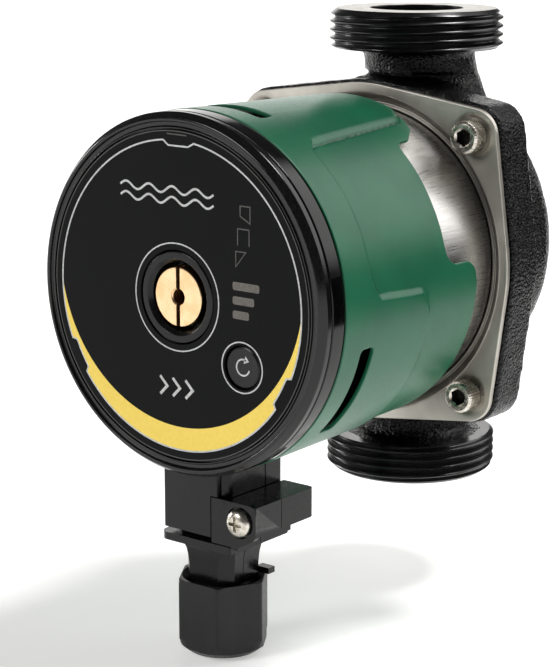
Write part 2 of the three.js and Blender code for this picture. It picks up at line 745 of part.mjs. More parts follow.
// The top of the socket follows the round head above it, and a tongue reaches up inside.
function socketBlock() {
  const width = 2 * SOCKET_HALF_X;
  const depth = SOCKET_BACK_Y - SOCKET_FRONT_Y;
  const outline = roundedRectangle(width, depth, 1.2, 0, (SOCKET_FRONT_Y + SOCKET_BACK_Y) / 2);
  const body = cut(
    column(outline, SOCKET_BOTTOM_Z, -40, 3),
    rod(RIM_R + 0.45, -100, -60, [0, 0, 0], FINE),
  );
  const tongue = block([-7, -90, -47], [7, -76, -42.8]);
  const cavity = block(
    [-NOSE_HALF_X - GAP, NOSE_FRONT_Y - GAP, SOCKET_BOTTOM_Z - CUT],
    [NOSE_HALF_X + GAP, NOSE_BACK_Y + GAP, NOSE_TOP_Z + GAP],
  );
  // The lower front corner is cut back for the screw boss of the plug.
  const bossRelief = block([5.8, -97, -70], [11, -93.8, -50.8]);
  const pinHoles = pinCentres.map((x) => block(
    [x - 1.5, PLUG_Y - 0.7, -50],
    [x + 1.5, PLUG_Y + 0.7, -40],
  ));
  return cut(join(body, tongue), cavity, bossRelief, ...pinHoles);
}
add("socket_block", socketBlock(), ...BLACK_PLASTIC);

pinCentres.forEach((x, i) => {
  const pin = block([x - 1.2, PLUG_Y - 0.4, -58], [x + 1.2, PLUG_Y + 0.4, -42]);
  add(`contact_pin_${i + 1}`, pin, ...BRASS);
});

// ---------------------------------------------------------------- power plug

const FLANGE_TOP_Z = -63.1;
const FLANGE_BOTTOM_Z = -65.1;
const SPLIT_Y = -85.4;            // where the two shells of the plug meet
const WING_RIGHT_X = 20.3;
const WING_TOP_Z = -51.4;
const WING_BOTTOM_Z = -59.1;
const SCREW_X = 15.3;
const SCREW_Z = -56;
const BOSS_BACK_Y = -94.1;
const SPIGOT_R = 9;
const SPIGOT_END_Z = -88;
const CABLE_BORE_R = 6;

// The square neck narrows down to the round threaded spigot that carries the gland nut.
function plugNeck() {
  const geometry = new THREE.CylinderGeometry(1, 1, 1, 8, 3);
  geometry.rotateY(Math.PI / 8);
  const place = geometry.getAttribute("position");
  const levels = [
    { z: FLANGE_TOP_Z, half: 10.4 },
    { z: -66, half: 9.6 },
    { z: -70, half: 8 },
    { z: -75, half: 7.8 },
  ];
  for (let i = 0; i < place.count; i += 1) {
    const { z, half } = levels[Math.round((0.5 - place.getY(i)) * 3)];
    // Corners of the octagon move outwards to make a square with chamfered corners.
    const spread = (value) => Math.sign(value) * (Math.abs(value) > 0.6 ? half : half * 0.7);
    const centred = Math.hypot(place.getX(i), place.getZ(i)) < 0.5;
    const [x, y] = centred ? [0, 0] : [spread(place.getX(i)), spread(place.getZ(i))];
    place.setXYZ(i, x, PLUG_Y + y, z);
  }
  return solid(geometry);
}

function plugBody() {
  const flange = column(roundedRectangle(23.4, 24.3, 2, 0.7, -84.1), FLANGE_BOTTOM_Z, FLANGE_TOP_Z, 3);
  const nose = block(
    [-NOSE_HALF_X, NOSE_FRONT_Y, FLANGE_TOP_Z - 0.5],
    [NOSE_HALF_X, NOSE_BACK_Y, NOSE_TOP_Z],
  );
  const wing = block(
    [SOCKET_HALF_X + 0.4, SOCKET_FRONT_Y, WING_BOTTOM_Z],
    [WING_RIGHT_X, SOCKET_BACK_Y, WING_TOP_Z],
  );
  const web = block([SOCKET_HALF_X + 0.4, -94.5, FLANGE_TOP_Z - 0.5], [13.5, -73, WING_BOTTOM_Z + 0.5]);
  const boss = join(
    block([6.1, SOCKET_FRONT_Y, FLANGE_TOP_Z - 0.5], [12, BOSS_BACK_Y, WING_TOP_Z + 0.3]),
    rod(5.7, SOCKET_FRONT_Y, BOSS_BACK_Y, [SCREW_X, 0, SCREW_Z], MEDIUM),
  );
  const reach = block([WING_RIGHT_X, -100, -70], [30, -60, -40]);
  const neck = plugNeck();
  const spigot = rod(SPIGOT_R, SPIGOT_END_Z, -73, [0, PLUG_Y, 0], COARSE, "z");
  const latch = block([7, -79, -75], [11, -76.5, -73.4]);
  const bore = rod(CABLE_BORE_R, -90, -60, [0, PLUG_Y, 0], COARSE, "z");
  const terminals = pinCentres.map((x) => block([x - 2.1, PLUG_Y - 1.6, -62], [x + 2.1, PLUG_Y + 1.6, -48]));
  const screwHole = rod(2, -97, -74, [SCREW_X, 0, SCREW_Z], SMALL);
  const whole = cut(join(flange, nose, wing, web, boss), reach);
  return cut(join(whole, neck, spigot, latch), bore, ...terminals, screwHole);
}

const plugWhole = plugBody();
const frontHalf = block([-40, -120, -120], [40, SPLIT_Y - GAP / 2, 0]);
const rearHalf = block([-40, SPLIT_Y + GAP / 2, -120], [40, 0, 0]);
add("plug_front_shell", plugWhole.intersect(frontHalf), ...BLACK_PLASTIC);
add("plug_rear_shell", plugWhole.intersect(rearHalf), ...BLACK_PLASTIC);

// A cross-recessed pan head screw that closes the two shells.
function plugScrew() {
  const seat = SOCKET_FRONT_Y - GAP;
  const body = turned([
    [0, seat - 2.1],
    [1.8, seat - 1.9],
    [3, seat - 1.3],
    [3.5, seat],
    [1.6, seat],
    [1.6, -76],
    [0, -76],
  ], COARSE);
  const arms = [[2, 0.35], [0.35, 2]].map(([x, z]) => block([-x, seat - 3, -z], [x, seat - 0.8, z]));
  return cut(body, ...arms).translate([SCREW_X, 0, SCREW_Z]);
}
add("plug_screw", plugScrew(), ...BRIGHT_STEEL);

// A box terminal open at the top for its pin.
pinCentres.forEach((x, i) => {
  const outside = block([x - 1.8, PLUG_Y - 1.3, -61.5], [x + 1.8, PLUG_Y + 1.3, -50]);
  const inside = block([x - 1.5, PLUG_Y - 0.7, -60], [x + 1.5, PLUG_Y + 0.7, -49]);
  add(`plug_terminal_${i + 1}`, cut(outside, inside), ...BRASS);
});

// ---------------------------------------------------------------- cable gland

const CABLE_HOLE_R = 4.9;

function glandNut() {
  const hexagon = column(polygon(6, NUT_R, 2), NUT_END_Z, NUT_TOP_Z);
  // Turning the ends in a lathe takes the points off the corners.
  const envelope = turned([
    [0, NUT_TOP_Z],
    [11.9, NUT_TOP_Z],
    [NUT_R + 0.1, NUT_TOP_Z - 1],
    [NUT_R + 0.1, -91.6],
    [11.6, -93.6],
    [9.6, NUT_END_Z],
    [0, NUT_END_Z],
  ], MEDIUM, "z");
  return cut(
    hexagon.intersect(envelope),
    rod(SPIGOT_R + 0.4, -91.5, -70, [0, 0, 0], COARSE, "z"),
    rod(CABLE_HOLE_R, -97, -90, [0, 0, 0], COARSE, "z"),
  ).translate([0, PLUG_Y, 0]);
}
add("gland_nut", glandNut(), ...BLACK_PLASTIC);

add(
  "gland_ring",
  ring(5.2, 9, -91.2, -90.2, COARSE, "z").translate([0, PLUG_Y, 0]),
  ...BLACK_PLASTIC,
);
add(
  "gland_grommet",
  ring(3.5, CABLE_BORE_R - GAP, -89.5, -80, COARSE, "z").translate([0, PLUG_Y, 0]),
  ...RUBBER,
);

export default pump;
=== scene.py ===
"""Looks of a wet-rotor heating circulator pump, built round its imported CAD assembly.

Shapes are drawn in millimetres in the CAD frame: +Z up the pipe, the motor along -Y, and the
origin where the pipe axis and the motor axis cross. make() turns millimetres into metres.
"""

import math

import bmesh
import bpy
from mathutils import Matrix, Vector, noise


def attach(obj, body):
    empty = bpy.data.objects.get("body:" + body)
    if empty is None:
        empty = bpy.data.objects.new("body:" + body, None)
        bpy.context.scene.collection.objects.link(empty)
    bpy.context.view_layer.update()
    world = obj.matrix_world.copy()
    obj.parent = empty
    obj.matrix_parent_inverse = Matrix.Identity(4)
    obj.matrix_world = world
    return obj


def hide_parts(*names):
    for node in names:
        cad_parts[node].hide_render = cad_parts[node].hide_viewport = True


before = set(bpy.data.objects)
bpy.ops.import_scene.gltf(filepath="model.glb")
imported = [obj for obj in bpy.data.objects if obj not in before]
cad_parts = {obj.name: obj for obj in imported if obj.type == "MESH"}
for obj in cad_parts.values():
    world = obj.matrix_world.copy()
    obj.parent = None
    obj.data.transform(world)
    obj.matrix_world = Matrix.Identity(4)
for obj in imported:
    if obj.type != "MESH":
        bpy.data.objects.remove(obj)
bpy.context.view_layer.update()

MM = 0.001

# ------------------------------------------------------------------ driving dimensions, in mm

PORT_FACE_Z = 65.0
THREAD_R = 23.9
THREAD_PITCH = 2.309
THREAD_DEPTH = 1.48
THREAD_FOOT_Z = 54.3
BORE_R = 12.7

CASTING_FRONT_Y = -22.3
CASTING_EAR_Y = -10.0
SCROLL_BACK_Y = 9.8

PLATE_FRONT_Y = -24.0
PLATE_BACK_Y = -22.6
PLATE_R = 46.3
BOLT_OFFSET = 34.5
EAR_R = 7.4
SPOT_DEPTH = 0.55

CAN_R = 40.0
CAN_END_Y = -70.5

COVER_FRONT_R = 45.4
COVER_REAR_R = 44.2
COVER_FRONT_Y = -92.7
COVER_REAR_Y = -33.5
COVER_WALL = 0.9
PANEL_DEPTH = 0.9

RIM_R = 45.3
BAND_BACK_Y = -93.0
BAND_FRONT_Y = -97.8
FRONT_Y = -101.5
LABEL_R = 41.1
LABEL_Y = -101.1
COLLAR_R = 11.5
BUTTON = (20.6, -14.6)
BLEED_R = 7.5

PLUG_Y = -84.0
SPLIT_Y = -85.4
SOCKET_BOTTOM_Z = -61.7
NUT_R = 12.5
NUT_TOP_Z = -75.7
NUT_END_Z = -95.5
SCREW = (15.3, -56.0)
PIN_XS = (-4.6, 0, 4.6)
BLOCK_TOP_Z = -40

FLOOR_Z = -96.0

# ------------------------------------------------------------------ shapes


def smoothstep(low, high, value):
    """0 up to low, 1 from high on, and a smooth rise between them."""
    t = min(max((value - low) / (high - low), 0.0), 1.0)
    return t * t * (3 - 2 * t)


def between(points, x):
    """The straight-line value at x of (x, y) points in rising order of x."""
    for (x0, y0), (x1, y1) in zip(points, points[1:]):
        if x <= x1:
            return y0 + (y1 - y0) * max(x - x0, 0) / (x1 - x0)
    return points[-1][1]


def steps(*spans):
    """Numbers running through (start, end, step) spans, and the last end."""
    result = []
    for start, end, step in spans:
        count = max(1, round((end - start) / step))
        result += [start + (end - start) * i / count for i in range(count)]
    return result + [spans[-1][1]]


def polar(radius, degrees):
    angle = math.radians(degrees)
    return radius * math.cos(angle), radius * math.sin(angle)


def rounded(points, closed=False, arc_steps=3):
    """A line through (a, b, radius) points with its corners rounded to each radius."""
    result = []
    last = len(points) - 1
    for i, (a, b, radius) in enumerate(points):
        if radius == 0 or (not closed and i in (0, last)):
            result.append((a, b))
            continue
        here = Vector((a, b))
        back = Vector(points[i - 1][:2]) - here
        ahead = Vector(points[(i + 1) % len(points)][:2]) - here
        half = back.angle(ahead) / 2
        reach = min(radius / math.tan(half), 0.48 * back.length, 0.48 * ahead.length)
        inner = reach * math.tan(half)
        centre = here + (back.normalized() + ahead.normalized()).normalized() * (inner / math.sin(half))
        first = here + back.normalized() * reach - centre
        end = here + ahead.normalized() * reach - centre
        start_angle = math.atan2(first.y, first.x)
        turn = (math.atan2(end.y, end.x) - start_angle + math.pi) % math.tau - math.pi
        for k in range(arc_steps + 1):
            angle = start_angle + turn * k / arc_steps
            result.append((centre.x + inner * math.cos(angle), centre.y + inner * math.sin(angle)))
    return result


def grid(columns, rows, place, wrap_columns=False, wrap_rows=False):
    """Quads over place(column, row)."""
    points = [place(i, j) for i in range(columns) for j in range(rows)]
    faces = []
    for i in range(columns if wrap_columns else columns - 1):
        for j in range(rows if wrap_rows else rows - 1):
            right = (i + 1) % columns
            up = (j + 1) % rows
            faces.append((i * rows + j, right * rows + j, right * rows + up, i * rows + up))
    return points, faces


def on_axis(axis, radius, angle, height, centre=(0, 0, 0)):
    """A point at a radius and angle in degrees round an axis, at a height along it."""
    a, b = polar(radius, angle)
    x, y, z = (a, height, b) if axis == "y" else (a, b, height)
    return x + centre[0], y + centre[1], z + centre[2]


def lathe(profile, segments=96, axis="y", centre=(0, 0, 0), ripple=None):
    """A turned solid. Its (radius, height) profile ends on the axis or closes on itself."""

    def place(i, j):
        radius, height = profile[j]
        if ripple:
            radius += ripple(i, j)
        return on_axis(axis, radius, i * 360 / segments, height, centre)

    return grid(segments, len(profile), place, True, profile[0][0] > 0)


def prism(outline, low, high, axis="y"):
    """An outline in X and Z, or in X and Y for axis z, given thickness along the axis."""
    count = len(outline)

    def at(a, b, level):
        return (a, level, b) if axis == "y" else (a, b, level)

    points = [at(a, b, level) for level in (low, high) for a, b in outline]
    faces = [tuple(range(count)), tuple(range(count, 2 * count))]
    for i in range(count):
        after = (i + 1) % count
        faces.append((i, after, count + after, count + i))
    return points, faces


def rectangle(a0, b0, a1, b1):
    return [(a0, b0), (a1, b0), (a1, b1), (a0, b1)]


def box(low, high):
    (x0, y0, z0), (x1, y1, z1) = low, high
    return prism(rectangle(x0, y0, x1, y1), z0, z1, "z")


def rod(radius, low, high, axis="y", centre=(0, 0, 0), segments=64):
    return lathe([(0, low), (radius, low), (radius, high), (0, high)], segments, axis, centre)


def together(*shapes):
    """Several shapes as one, without joining their surfaces."""
    points, faces = [], []
    for more_points, more_faces in shapes:
        start = len(points)
        points += more_points
        faces += [tuple(start + i for i in face) for face in more_faces]
    return points, faces


# ------------------------------------------------------------------ objects


def make(name, shape):
    """A mesh object from a shape in millimetres."""
    points, faces = shape
    mesh = bpy.data.meshes.new(name)
    mesh.from_pydata([(x * MM, y * MM, z * MM) for x, y, z in points], [], faces)
    bm = bmesh.new()
    bm.from_mesh(mesh)
    bmesh.ops.remove_doubles(bm, verts=bm.verts, dist=0.0005 * MM)
    bmesh.ops.dissolve_degenerate(bm, edges=bm.edges, dist=0.0002 * MM)
    bmesh.ops.recalc_face_normals(bm, faces=bm.faces)
    bm.to_mesh(mesh)
    bm.free()
    obj = bpy.data.objects.new(name, mesh)
    bpy.context.scene.collection.objects.link(obj)
    return obj


def modify(obj, kind, **settings):
    """Add a modifier and apply it."""
    modifier = obj.modifiers.new(kind.lower(), kind)
    for key, value in settings.items():
        setattr(modifier, key, value)
    graph = bpy.context.evaluated_depsgraph_get()
    mesh = bpy.data.meshes.new_from_object(obj.evaluated_get(graph))
    obj.modifiers.clear()
    old = obj.data
    obj.data = mesh
    bpy.data.meshes.remove(old)
    mesh.name = obj.name
    return obj


def combine(obj, operation, *shapes):
    """Cut shapes out of an object, or join or intersect them with it."""
    for shape in shapes:
        tool = make("tool", shape)
        modify(obj, "BOOLEAN", operation=operation, solver="EXACT", object=tool)
        tool_mesh = tool.data
        bpy.data.objects.remove(tool)
        bpy.data.meshes.remove(tool_mesh)
    return obj


def soften(obj, width, angle=35):
    """Round every edge sharper than an angle in degrees, by a width in millimetres."""
    flatten(obj)
    return modify(
        obj, "BEVEL", width=width * MM, segments=2,
        limit_method="ANGLE", angle_limit=math.radians(angle), miter_outer="MITER_ARC",
    )


def paint(obj, finish, other, chosen):
    """Give an object one finish, and another to the faces that chosen(face) picks."""
    for key in (finish, other):
        obj.data.materials.append(FINISHES[key])
    for face in obj.data.polygons:
        face.material_index = 1 if chosen(face) else 0


def flatten(obj):
    """Merge faces that lie in one plane and points that lie together."""
    bm = bmesh.new()
    bm.from_mesh(obj.data)
    bmesh.ops.remove_doubles(bm, verts=bm.verts, dist=0.002 * MM)
    bmesh.ops.dissolve_limit(bm, angle_limit=math.radians(0.5), verts=bm.verts, edges=bm.edges)
    bm.to_mesh(obj.data)
    bm.free()


def shade(obj, angle=40):
    """Smooth shading that breaks at edges sharper than an angle in degrees. Returns the object."""
    bm = bmesh.new()
    bm.from_mesh(obj.data)
    for face in bm.faces:
        face.smooth = True
    for edge in bm.edges:
        edge.smooth = edge.calc_face_angle(0) < math.radians(angle)
    bm.to_mesh(obj.data)
    bm.free()
    if angle < 180:
        modify(obj, "WEIGHTED_NORMAL", keep_sharp=True)
    return obj


# ------------------------------------------------------------------ materials


def colour(red, green, blue):
    """A linear colour from 0-255 display values."""

    def linear(value):
        value /= 255
        return value / 12.92 if value <= 0.04045 else ((value + 0.055) / 1.055) ** 2.4

    return linear(red), linear(green), linear(blue), 1.0


def add_node(tree, kind, *values, operation=None, **named):
    """A node whose inputs, in order or by name, are set to a value or linked to a socket."""
    made = tree.nodes.new(kind)
    if operation:
        made.operation = operation
    settings = list(zip(made.inputs, values))
    settings += [(made.inputs[key], value) for key, value in named.items()]
    for socket, value in settings:
        if isinstance(value, bpy.types.NodeSocket):
            tree.links.new(value, socket)
        else:
            socket.default_value = value
    return made


class Finish:
    """A Principled material that is built up from procedural patterns in object space."""

    def __init__(self, name, base, roughness, metallic=0.0, **sockets):
        self.material = bpy.data.materials.new(name)
        self.material.use_nodes = True
        self.tree = self.material.node_tree
        self.shader = self.tree.nodes["Principled BSDF"]
        self.shader.inputs["Base Color"].default_value = colour(*base)
        self.shader.inputs["Roughness"].default_value = roughness
        self.shader.inputs["Metallic"].default_value = metallic
        for socket, value in sockets.items():
            self.shader.inputs[socket.replace("_", " ")].default_value = value
        self.name = name
        self.place = self.node("ShaderNodeTexCoord").outputs["Object"]
        self.normal = None

    def node(self, kind, *values, operation=None, **named):
        return add_node(self.tree, kind, *values, operation=operation, **named)

    def math(self, operation, first, second):
        return self.node("ShaderNodeMath", first, second, operation=operation).outputs[0]

    def grain(self, size, stretch=(1, 1, 1), detail=2.0):
        """Noise whose lumps are about size mm across, made longer along an axis by stretch."""
        scale = [1 / (size * MM * s) for s in stretch]
        moved = self.node("ShaderNodeMapping", Vector=self.place, Scale=scale)
        return self.noise_along(moved, detail)

    def noise_along(self, vector, detail):
        """Noise looked up at a node's vector."""
        return self.node(
            "ShaderNodeTexNoise", Vector=vector.outputs[0], Scale=1.0, Detail=detail,
        ).outputs["Fac"]

    def cells(self, size):
        """Rounded cells about size mm across, dark in the middle."""
        moved = self.node("ShaderNodeMapping", Vector=self.place, Scale=[1 / (size * MM)] * 3)
        return self.node(
            "ShaderNodeTexVoronoi", Vector=moved.outputs[0], Scale=1.0,
        ).outputs["Distance"]

    def rings(self, pitch, axis="y"):
        """Fine turned lines round an axis, about pitch mm apart, with a little wander."""
        across = [0 if name == axis else 1 for name in "xyz"]
        flat = self.node("ShaderNodeVectorMath", self.place, across, operation="MULTIPLY")
        radius = self.node("ShaderNodeVectorMath", flat.outputs[0], operation="LENGTH")
        steady = self.math("MULTIPLY", radius.outputs["Value"], 1 / (pitch * MM))
        wander = self.math("MULTIPLY", self.grain(pitch * 8), 0.3)
        line = self.node("ShaderNodeCombineXYZ", self.math("ADD", steady, wander))
        return self.noise_along(line, 1.0)

    def tint(self, driver, dark, light, start=0.35, end=0.65):
        """Colour that runs from dark to light as the pattern rises."""
        ramp = self.node("ShaderNodeValToRGB", Fac=driver)
        first, last = ramp.color_ramp.elements
        first.position, last.position = start, end
        first.color, last.color = colour(*dark), colour(*light)
        self.tree.links.new(ramp.outputs[0], self.shader.inputs["Base Color"])
        return self

    def gloss(self, driver, low, high):
        """Roughness from low to high over the pattern's middle range."""
        value = self.node("ShaderNodeMapRange", driver, 0.3, 0.7, low, high).outputs[0]
        self.tree.links.new(value, self.shader.inputs["Roughness"])
        return self

    def shade_crevices(self, reach):
        """Painted shade: darken the colour in corners and slots up to reach mm away from the next
        surface.
        """
        paint = self.shader.inputs["Base Color"].links[0].from_socket
        corner = self.node("ShaderNodeAmbientOcclusion", Color=paint, Distance=reach * MM)
        self.tree.links.new(corner.outputs["Color"], self.shader.inputs["Base Color"])
        return self

    def bump(self, driver, height):
        """Relief of a height in mm, on top of any relief before it."""
        made = self.node("ShaderNodeBump", Height=driver, Strength=1.0, Distance=height * MM)
        if self.normal:
            self.tree.links.new(self.normal, made.inputs["Normal"])
        self.normal = made.outputs[0]
        self.tree.links.new(self.normal, self.shader.inputs["Normal"])
        return self


def cast_paint():
    """Black dip paint over sand-cast iron: the grain of the mould shows as bright specks."""
    finish = Finish("cast_paint", (5, 5, 6), 0.14, Specular_IOR_Level=0.24)
    finish.tint(finish.grain(4.0), (3, 3, 3), (7, 7, 8))
    finish.gloss(finish.grain(0.9), 0.06, 0.2)
    finish.bump(finish.cells(0.9), 0.3).bump(finish.grain(0.55), 0.34)
    return finish


def thread_paint():
    """The same paint over cut threads, thinner and smoother."""
    finish = Finish("thread_paint", (8, 8, 9), 0.24, Specular_IOR_Level=0.55)
    finish.tint(finish.grain(2.5), (6, 6, 7), (16, 16, 17))
    finish.gloss(finish.grain(0.5), 0.2, 0.26)
    finish.bump(finish.grain(0.4), 0.006)
    return finish


def machined_iron():
    """A bare faced sealing surface with fine turning marks."""
    finish = Finish("machined_iron", (196, 193, 187), 0.34, 1.0)
    lines = finish.rings(0.22, "z")
    finish.tint(finish.grain(3.0), (176, 173, 166), (208, 205, 198))
    finish.gloss(lines, 0.26, 0.46)
    finish.bump(lines, 0.012)
    return finish


def pressed_steel():
    """Satin stainless sheet, rolled and pressed, with faint straight polishing lines."""
    finish = Finish("pressed_steel", (168, 163, 154), 0.34, 1.0)
    lines = finish.grain(0.12, (1, 1, 60))
    finish.tint(finish.grain(9.0), (190, 185, 176), (208, 204, 195))
    finish.gloss(lines, 0.36, 0.48)
    finish.bump(lines, 0.004).bump(finish.grain(0.4), 0.003)
    # Painted shade: the colour is darkened in the plate's corners, such as its step by the shell.
    finish.shade_crevices(4)
    return finish


def drawn_steel():
    """The deep-drawn shell, bright, with drawing lines along the motor axis."""
    finish = Finish("drawn_steel", (205, 203, 200), 0.2, 1.0)
    lines = finish.grain(0.16, (1, 45, 1), 3.0)
    finish.tint(finish.grain(6.0, (1, 3, 1)), (214, 212, 210), (228, 226, 224))
    finish.gloss(lines, 0.24, 0.38)
    finish.bump(lines, 0.014).bump(finish.grain(0.6, (1, 60, 1), 3.0), 0.03)
    # Painted shade: the shell's colour is darkened next to the plate and in other corners.
    finish.shade_crevices(3.5)
    return finish


def bright_steel():
    """Turned or ground stainless parts."""
    finish = Finish("bright_steel", (200, 198, 195), 0.22, 1.0)
    lines = finish.rings(0.18)
    finish.gloss(lines, 0.16, 0.3)
    finish.bump(lines, 0.006)
    finish.tint(finish.grain(5.0), (190, 188, 184), (210, 208, 206))
    return finish


def zinc():
    """Zinc-plated screw steel, slightly worn."""
    finish = Finish("zinc", (196, 190, 178), 0.26, 1.0)
    finish.tint(finish.grain(1.6, detail=4.0), (176, 169, 156), (226, 221, 212))
    finish.gloss(finish.grain(0.6), 0.2, 0.38)
    finish.bump(finish.grain(0.3, detail=3.0), 0.01)
    return finish


def brass():
    """Turned brass with fine tool rings and a little tarnish."""
    finish = Finish("brass", (243, 205, 160), 0.26, 1.0)
    lines = finish.rings(0.16)
    finish.tint(finish.grain(3.0, detail=3.0), (236, 196, 148), (247, 212, 168))
    finish.gloss(lines, 0.2, 0.34)
    finish.bump(lines, 0.006)
    return finish


def recess_shade(name, dark, light, metallic):
    """Painted shade for the inside of a screw recess or slot: dark, dull metal."""
    finish = Finish(name, light, 0.55, metallic)
    finish.tint(finish.grain(0.5, detail=3.0), dark, light)
    finish.gloss(finish.grain(0.4), 0.45, 0.7)
    finish.bump(finish.grain(0.2), 0.01)
    return finish


def copper():
    """Windings of enamelled wire, seen as fine parallel turns."""
    finish = Finish("copper", (184, 104, 60), 0.32, 0.9)
    turns = finish.grain(0.35, (1, 30, 30), 1.0)
    finish.tint(turns, (120, 58, 30), (206, 126, 76))
    finish.bump(turns, 0.12)
    finish.gloss(finish.grain(1.5), 0.25, 0.4)
    return finish


def laminations():
    """Stamped core sheets stacked along the motor axis."""
    finish = Finish("laminations", (120, 122, 124), 0.4, 1.0)
    sheets = finish.grain(0.5, (60, 1, 60), 0.0)
    finish.tint(sheets, (70, 72, 75), (150, 152, 154))
    finish.bump(sheets, 0.08)
    finish.gloss(finish.grain(2.0), 0.34, 0.5)
    return finish


def green_plastic():
    """Satin moulded cover with a fine spark-eroded grain."""
    finish = Finish("green_plastic", (15, 94, 65), 0.34, Specular_IOR_Level=0.4)
    finish.tint(finish.grain(14.0), (11, 90, 61), (17, 99, 68))
    finish.gloss(finish.grain(0.5), 0.28, 0.38)
    finish.bump(finish.cells(0.34), 0.012).bump(finish.grain(0.22), 0.01)
    # Painted shade: the cover's colour is darkened in its grooves, notches and vents.
    finish.shade_crevices(1.6)
    return finish


def gloss_black():
    """Polished black moulding with faint handling marks."""
    finish = Finish("gloss_black", (6, 6, 7), 0.07, Specular_IOR_Level=0.3)
    finish.tint(finish.grain(5.0), (5, 5, 6), (9, 9, 10))
    finish.gloss(finish.grain(1.2, (3, 1, 3)), 0.05, 0.14)
    finish.bump(finish.grain(2.2), 0.008)
    return finish


def window_black():
    """Smoked clear rim of the front window, with fine handling scratches."""
    finish = Finish("window_black", (12, 12, 12), 0.14, Specular_IOR_Level=0.4)
    speckle = finish.grain(0.4, detail=4.0)
    finish.tint(speckle, (7, 7, 8), (24, 24, 24), 0.4, 0.7)
    finish.gloss(speckle, 0.1, 0.24)
    finish.bump(speckle, 0.012)
    return finish


def label_foil():
    """Charcoal printed foil with a fine matt speckle."""
    finish = Finish("label_foil", (17, 18, 18), 0.36, Specular_IOR_Level=0.06)
    finish.tint(finish.grain(0.3, detail=3.0), (13, 14, 14), (20, 21, 21))
    finish.gloss(finish.grain(0.6), 0.3, 0.42)
    finish.bump(finish.grain(0.25), 0.003)
    return finish


def ink(name, dark, light, roughness=0.4):
    """Screen-printed ink, slightly uneven."""
    finish = Finish(name, light, roughness)
    finish.tint(finish.grain(0.7, detail=3.0), dark, light)
    finish.gloss(finish.grain(0.5), roughness - 0.06, roughness + 0.08)
    finish.bump(finish.grain(0.3), 0.004)
    return finish


def moulded_black(name, base, roughness, grain_size=0.3):
    """Semi-gloss black polyamide with fine grain and faint flow streaks."""
    finish = Finish(name, base, roughness, Specular_IOR_Level=0.28)
    light = tuple(c + 6 for c in base)
    finish.tint(finish.grain(5.0, (1, 1, 4), 3.0), base, light)
    finish.gloss(finish.grain(1.1), roughness - 0.06, roughness + 0.08)
    finish.bump(finish.grain(grain_size, detail=3.0), 0.012).bump(finish.grain(6.0), 0.02)
    return finish


def rubber():
    finish = Finish("rubber", (24, 24, 24), 0.75)
    finish.tint(finish.grain(1.5), (18, 18, 18), (32, 32, 31))
    finish.gloss(finish.grain(0.8), 0.66, 0.85)
    finish.bump(finish.grain(0.25, detail=3.0), 0.02)
    return finish


def carbon():
    finish = Finish("carbon", (42, 42, 43), 0.42, Specular_IOR_Level=0.7)
    finish.tint(finish.grain(0.6, detail=4.0), (32, 32, 33), (56, 56, 57))
    finish.gloss(finish.grain(0.9), 0.34, 0.52)
    finish.bump(finish.rings(0.2), 0.005)
    return finish


def board():
    """Solder mask with copper tracks faintly under it."""
    finish = Finish("board", (24, 84, 44), 0.35)
    tracks = finish.cells(2.4)
    finish.tint(tracks, (20, 72, 38), (44, 118, 66), 0.42, 0.5)
    finish.gloss(finish.grain(1.0), 0.28, 0.42)
    finish.bump(tracks, 0.03)
    return finish


def lamp():
    finish = Finish("lamp", (236, 228, 196), 0.3)
    finish.tint(finish.grain(0.6), (226, 214, 170), (242, 236, 212))
    finish.gloss(finish.grain(0.8), 0.22, 0.38)
    return finish


def smoked_bar():
    finish = Finish("smoked_bar", (88, 82, 76), 0.25)
    finish.tint(finish.grain(0.8), (82, 77, 71), (92, 86, 80))
    finish.gloss(finish.grain(0.9), 0.18, 0.34)
    return finish


FINISHES = {
    finish.name: finish.material
    for finish in (
        cast_paint(),
        thread_paint(),
        machined_iron(),
        pressed_steel(),
        drawn_steel(),
        bright_steel(),
        zinc(),
        brass(),
        # Painted shade inside the vent plug's slot and well and inside the screws' hex sockets.
        recess_shade("brass_recess_shade", (46, 26, 12), (120, 78, 44), 0.5),
        recess_shade("steel_recess_shade", (12, 12, 12), (44, 42, 39), 0.6),
        copper(),
        laminations(),
        green_plastic(),
        gloss_black(),
        window_black(),
        label_foil(),
        ink("grey_ink", (176, 177, 176), (200, 201, 200)),
        ink("yellow_ink", (240, 208, 84), (244, 214, 94), 0.5),
        ink("ghost_ink", (60, 59, 57), (72, 70, 67)),
        smoked_bar(),
        moulded_black("button_black", (14, 15, 16), 0.26),
        moulded_black("socket_black", (9, 9, 10), 0.2),
        moulded_black("nut_black", (26, 27, 27), 0.36, 0.22),
        rubber(),
        carbon(),
        board(),
        lamp(),
    )
}

# ------------------------------------------------------------------ cast housing


def flange_radius(angle, margin):
    """How far the outline of the four-eared flange is from the motor axis, at an angle."""
    reach = BOLT_OFFSET * math.sqrt(2)
    disc = PLATE_R + margin
    ear = EAR_R + margin
    lean = math.acos((disc - ear) / reach)
    off = math.radians(abs(angle % 90 - 45))
    if off >= lean:
        return disc
    ear_edge = math.atan2(ear * math.sin(lean), reach + ear * math.cos(lean))
    if off >= ear_edge:
        return disc / math.cos(lean - off)
    return reach * math.cos(off) + math.sqrt(ear**2 - (reach * math.sin(off)) ** 2)


# Angles round the flange, closer together at its four ears.
FLANGE_ANGLES = [
    corner + angle
    for corner in (0, 90, 180, 270)
    for angle in steps((0, 36, 1.5), (36, 54, 0.5), (54, 90, 1.5))[:-1]
]


def flange_outline(margin):
    return [polar(flange_radius(angle, margin), angle) for angle in FLANGE_ANGLES]


def scroll_radius(angle):
    """The volute widens on its way round to the upper port, then drops back to its tongue."""
    tongue, outlet = -250, 100
    growth = 0.05
    sweep = outlet - tongue
    turn = (angle - tongue) % 360
    wound = turn if turn <= sweep else sweep * (360 - turn) / (360 - sweep)
    return 43.4 + growth * tongue + growth * wound


